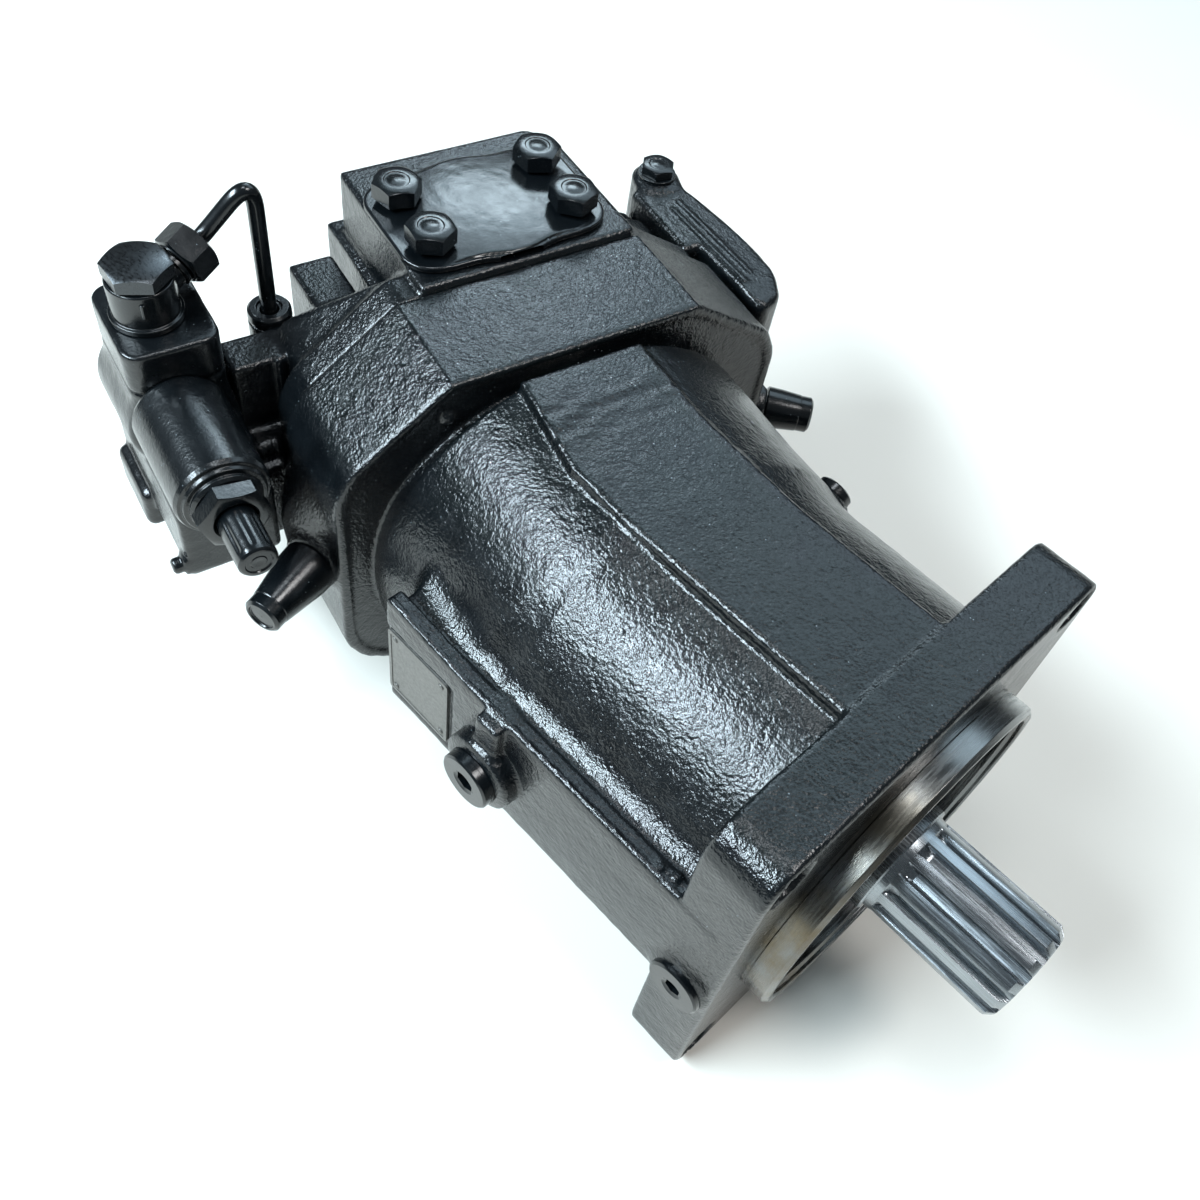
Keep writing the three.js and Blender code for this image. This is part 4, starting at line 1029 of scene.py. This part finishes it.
def control_field(x, y, z):
    u, v = x - VALVE_PLAN[0], y - VALVE_PLAN[1]
    body = join(
        rmax(rounded_plan(u, v, 23.5, 19.7, 8), span(z, 10, 82.5), 1.6),
        (pillar(y + 141, z - 40, x, 22.8, -205, -158.4, 4), 3),
        (block(x, y, z, -208, -124, -160, -118.4, -13, 26, 3), 4),
        (block(x, y, z, -204, -168, -165, -145, -26, -4, 4), 2),
        (block(x, y, z, -186, -140, -150, -118.4, 0, 40, 4), 4),
        (pillar(x - STUD[0], z - STUD[1], y, 5.6, -161.5, -150, 0.8), 1),
        (pillar(x - STUD[0], z - STUD[1], y, 3.6, -166, -150, 0.8), 0.6),
    )
    groove = rmax(np.abs(z - 63) - 0.7, -rounded_plan(u, v, 22.6, 18.8, 7.5), 0.3)
    body = carve(body, groove, 0.6)
    spool_bore = np.hypot(y - VALVE_Y, z - VALVE_Z) - 5.9 + np.maximum(0, -202 - x) * 5
    body = carve(body, spool_bore, 0.3)
    body = carve(body, pillar(x - BANJO[0], y - BANJO[1], z, 6, VALVE_Z, 100, 0.3), 0.5)
    return rmax(body, x - VALVE_FACE, 1.0)


control = casting(
    "control_casting", control_field, (-210, -168, -28), (-121, -116, 85), 1.0, TURNED, rear=True)
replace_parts(control, "control_body")


def on_valve(shape):
    return shift(shape[0], 0, VALVE_Y, VALVE_Z), shape[1]


cylinder = lathe([
    (-157.7, 14.5), (-113, 14.5), (-113, 8.4), (-103.0, 8.4), (-103.0, 13.2), (-104.2, 14.6),
    (-105.4, 14.6), (-105.6, 16.6), (-107.2, 17.2), (-107.4, 18.6), (-109.4, 19.5), (-156.0, 19.5),
    (-157.7, 18.8),
], 144, 0.4, True)
stand_in("spring_cylinder", "spring_barrel", on_valve(cylinder), TURNED, rear=True)

nut = hex_head(26, 8.2, bore=8.5)
nut = on_valve((shift(turn(nut[0], "X", 0.35), -102.7), nut[1]))
stand_in("lock_nut", "lock_nut_shape", nut, DARK_BOLT, 30, rear=True)


def fluted_screw():
    """Adjusting screw with a band of eight shallow flutes and a dimpled end."""
    samples = 144
    flutes = np.maximum(np.cos(np.arange(samples) * 2 * math.pi / samples * 8), 0) ** 2

    def ring(x, r, depth=0.0):
        return ring_at(x, r - depth * flutes)

    rings = [np.array([[-120.0, 0, 0]]), ring(-120, 6.5), ring(-119, 7.4), ring(-96, 7.4), ring(-95, 7.8)]
    rings += [ring(-93, 8.0, 0.1), ring(-90, 8.0, 0.55), ring(-77, 8.0, 0.55), ring(-75.5, 8.0, 0.2)]
    rings += [ring(-74.6, 8.0), ring(-73.0, 7.9), ring(-72.2, 7.2), ring(-72, 6.8), ring(-72, 5.6)]
    rings += [ring(-72.6, 5.2), ring(-72.6, 3.4), ring(-72.3, 3.0), ring(-72.3, 1.6)]
    rings.append(np.array([[-72.8, 0, 0]]))
    return rings_solid(rings)


adjuster = on_valve(fluted_screw())
stand_in("adjusting_screw", "adjuster_shape", adjuster, DARK_BOLT, 30, body="adjuster", rear=True)

banjo = upright(lathe([
    (82.8, 7.4), (82.8, 14.6), (85.2, 14.6), (85.6, 13.3), (100.4, 13.3), (101, 12.8), (101, 7.4),
], 120, 0.4, True))
ARM_TILT, ARM_TURN, ARM_Z = math.radians(18), math.radians(114.6), 90.0


def on_arm(points):
    return shift(turn(turn(points, "Y", -ARM_TILT), "Z", ARM_TURN), BANJO[0], BANJO[1], ARM_Z)


arm = lathe([(11, 0), (11, 7), (16.2, 7), (16.6, 8.4), (18.5, 8.4), (18.5, 0)], 64, 0.3)
arm = (on_arm(arm[0]), arm[1])
dimple = upright(lathe([(91, 0), (91, 1.2), (98, 1.2), (98, 0)], 16, 0.5))
dimple = moved(dimple, BANJO[0] + 12.6, BANJO[1] - 3.5)
banjo = merge(moved(banjo, *BANJO), arm, dimple)
stand_in("banjo_ring", "banjo_shape", banjo, SMOOTH, rear=True)
head = moved(upright(hex_head(24, 7.0, mark=0.001, dish=0.01), 0.12), *BANJO, 101.3)
stem = upright(lathe([(58, 0), (58, 5.5), (84, 5.5), (84, 7), (101.8, 7), (101.8, 0)], 48, 0.3))
stem = moved(stem, *BANJO)
stand_in("banjo_screw", "banjo_bolt", merge(head, stem), HEAD_STEEL, 30, rear=True)
union_nut = hex_head(20.5, 12.6, bore=4.3, both=True)
stand_in("pipe_nut", "union_nut", (on_arm(shift(union_nut[0], 19)), union_nut[1]), DARK_BOLT, 30, rear=True)


def pipe_path():
    """Centre line of the signal pipe, from the union nut over its crown and down into the fitting."""
    start = on_arm(np.array([[21.0, 0, 0], [33.0, 0, 0]]))
    crown = np.array([PIPE_FOOT[0], PIPE_FOOT[1], 124.8])
    foot = np.array([PIPE_FOOT[0], PIPE_FOOT[1], PIPE_FOOT[2] - 12])
    path = [start[0]]
    for before, here, after, reach in ((start[0], start[1], crown, 8), (start[1], crown, foot, 15)):
        a, b = before - here, after - here
        a, b = a / np.linalg.norm(a), b / np.linalg.norm(b)
        s, e = here + a * reach, here + b * reach
        for t in np.linspace(0, 1, 14):
            path.append((1 - t) ** 2 * s + 2 * t * (1 - t) * here + t * t * e)
    path.append(foot)
    dense = [path[0]]
    for a, b in zip(path, path[1:]):
        steps = max(1, int(np.linalg.norm(b - a) / 4))
        dense += [a + (b - a) * (k + 1) / steps for k in range(steps)]
    return np.array(dense)


stand_in("signal_pipe", "pipe_shape", sweep(pipe_path(), 3.5), SMOOTH, 40, rear=True)
fitting = upright(lathe([
    (54.3, 4.1), (54.3, 9.3), (55.5, 9.6), (58.8, 9.4), (60, 8.2), (60, 5.6), (58.6, 5.2), (58.6, 4.1),
], 72, 0.3, True))
stand_in("pipe_fitting", "fitting_shape", moved(fitting, PIPE_FOOT[0], PIPE_FOOT[1]), SMOOTH, rear=True)

# ---- side valve ----

BOSS = (-205.0, 117.0, 63.0)


def side_valve_field(x, y, z):
    """Flat casting with two raised ridges and a screw boss."""
    main = convex(x, y, [
        (-202, 106.4), (-137, 109), (-112, 109.9), (-104.6, 115.5), (-109, 127), (-125, 134.5),
        (-150, 138.3), (-174, 137), (-192, 129), (-206, 127),
    ], 3.0)
    inner = convex(x, y, [(-202, 100.4), (-153.3, 100.4), (-153.3, 112), (-202, 112)], 2.0)
    plan = rmin(main, inner, 2)
    top = 60.4 - np.maximum(y - 131, 0) ** 1.5 * 0.3 - np.maximum(x + 120, 0) * 0.12
    body = rmax(plan, span(z, 27, top), 4)
    body = carve(body, pillar(x + 191, y - 140, z, 9, 20, 80, 2), 3)
    lean = (x + 150) * 0.05
    ridge_a = rmax(np.abs(y - 113.5 - lean) - 1.0, span(x, -182, -122), 0.5)
    ridge_b = rmax(np.abs(y - 119.5 - lean) - 1.0, span(x, -186, -126), 0.5)
    body = rmin(body, np.maximum(np.minimum(ridge_a, ridge_b), span(z, 50, 61.2)), 1.0)
    u, v = x - BOSS[0], y - BOSS[1]
    body = rmin(body, pillar(u, v, z, 12, 26, BOSS[2] - 1.2, 1.5), 5)
    body = np.minimum(body, pillar(u, v, z, 10.4, 40, BOSS[2], 0.6))
    return carve(body, pillar(u, v, z, 4.8, 30, 80, 0.2), 0.4)


side_valve = casting(
    "side_valve_casting", side_valve_field, (-220, 96, 22), (-100, 138, 66), 0.9, CAST, rear=True)
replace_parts(side_valve, "side_valve_body")
washer = lathe([(63.1, 4.8), (63.1, 9.4), (64.6, 9.4), (64.6, 4.8)], 64, 0.3, True)
bolt = moved(upright(hex_screw(4.5, 30, 15, 5), 0.4), BOSS[0], BOSS[1], 64.3)
bolt = merge(bolt, moved(upright(washer), BOSS[0], BOSS[1]))
stand_in("side_valve_screw", "side_valve_bolt", bolt, DARK_BOLT, 30, rear=True)

# ---- materials of the CAD solids that stay ----

SLOT_MATERIAL = {
    "black_paint": CAST, "shaft_steel": SHAFT_STEEL, "bearing_steel": BEARING_STEEL,
    "cast_steel": CAST_STEEL, "bronze": BRONZE, "plate": PLATE, "seal_rubber": RUBBER,
    "spring_steel": SPRING_STEEL,
}
slot_of = {s["node"]: s["material_slot"] for s in frame["record"]["subparts"]}
for name, node in frame["nodes"].items():
    for material_slot in node.material_slots:
        material_slot.material = SLOT_MATERIAL[slot_of[name]]

# ---- floor, lights and camera ----


PAPER = (0.81, 0.765, 0.695), (0.85, 0.805, 0.735)
FLOOR_HALF, FLOOR_GAP = 60.0, 0.0005
SKY, SKY_STRENGTH = (0.78, 0.91, 1.0, 1), 0.17


def floor():
    n = Nodes("floor_paper")
    cloud = n.noise(3, 3.0)
    colour = n.ramp(cloud, [(0.2, PAPER[0]), (0.8, PAPER[1])])
    n.finish(colour, n.remap(cloud, 0.2, 0.8, 0.75, 0.85), n.bump(n.noise(900, 2.0), 0.03 * MM))
    mesh = bpy.data.meshes.new("floor")
    h = FLOOR_HALF
    mesh.from_pydata([(-h, -h, 0), (h, -h, 0), (h, h, 0), (-h, h, 0)], [], [(0, 1, 2, 3)])
    mesh.materials.append(n.material)
    piece = bpy.data.objects.new("floor", mesh)
    bpy.context.scene.collection.objects.link(piece)
    piece.location.z = -FLOOR_GAP


floor()
world = bpy.data.worlds.new("studio")
world.use_nodes = True
sky = world.node_tree.nodes["Background"].inputs
sky["Color"].default_value = SKY
sky["Strength"].default_value = SKY_STRENGTH
bpy.context.scene.world = world

CENTRE = Vector((0.0, 0.0, 0.1))


def softbox(name, azimuth, elevation, distance, width, height, power, colour=(1, 1, 1)):
    """Rectangular light that faces CENTRE; angles in degrees, lengths in metres, power in watts."""
    a, e = math.radians(azimuth), math.radians(elevation)
    way = Vector((math.cos(a) * math.cos(e), math.sin(a) * math.cos(e), math.sin(e)))
    light = bpy.data.lights.new(name, "AREA")
    light.shape = "RECTANGLE"
    light.size, light.size_y = width, height
    light.energy = power
    light.color = colour
    lamp = bpy.data.objects.new(name, light)
    facing = way.to_track_quat("Z", "Y").to_matrix().to_4x4()
    lamp.matrix_world = Matrix.Translation(CENTRE + way * distance) @ facing
    bpy.context.scene.collection.objects.link(lamp)


softbox("key", -118, 43, 1.5, 1.1, 0.3, 50, (0.74, 0.9, 1.0))
softbox("back", 114, 49, 1.7, 1.9, 0.8, 11, (0.66, 0.86, 1.0))
softbox("right", 25, 62, 1.8, 0.5, 0.5, 12)
softbox("window", 140, 36, 1.6, 0.35, 0.25, 3.0, (0.72, 0.9, 1.0))
softbox("top", -150, 85, 1.4, 0.3, 0.3, 3.5, (0.86, 0.94, 1.0))
bpy.context.scene.view_settings.view_transform = "Standard"

CAMERA_AT = np.array([36.68, -253.2, 422.96]) * MM + ORIGIN
CAMERA_RIGHT = Vector((0.68748, 0.71707, 0.1148))
CAMERA_UP = Vector((-0.63205, 0.51298, 0.58083))
LENS_MM, SENSOR_MM = 36.39, 36.0

camera = bpy.data.objects.new("camera", bpy.data.cameras.new("camera"))
camera.data.lens = LENS_MM
camera.data.sensor_width = SENSOR_MM
camera.data.clip_start = 0.01
back = CAMERA_RIGHT.cross(CAMERA_UP)
rotation = Matrix((CAMERA_RIGHT, CAMERA_UP, back)).transposed()
camera.matrix_world = Matrix.Translation(Vector(CAMERA_AT)) @ rotation.to_4x4()
bpy.context.scene.collection.objects.link(camera)
bpy.context.scene.camera = camera

bpy.context.view_layer.update()
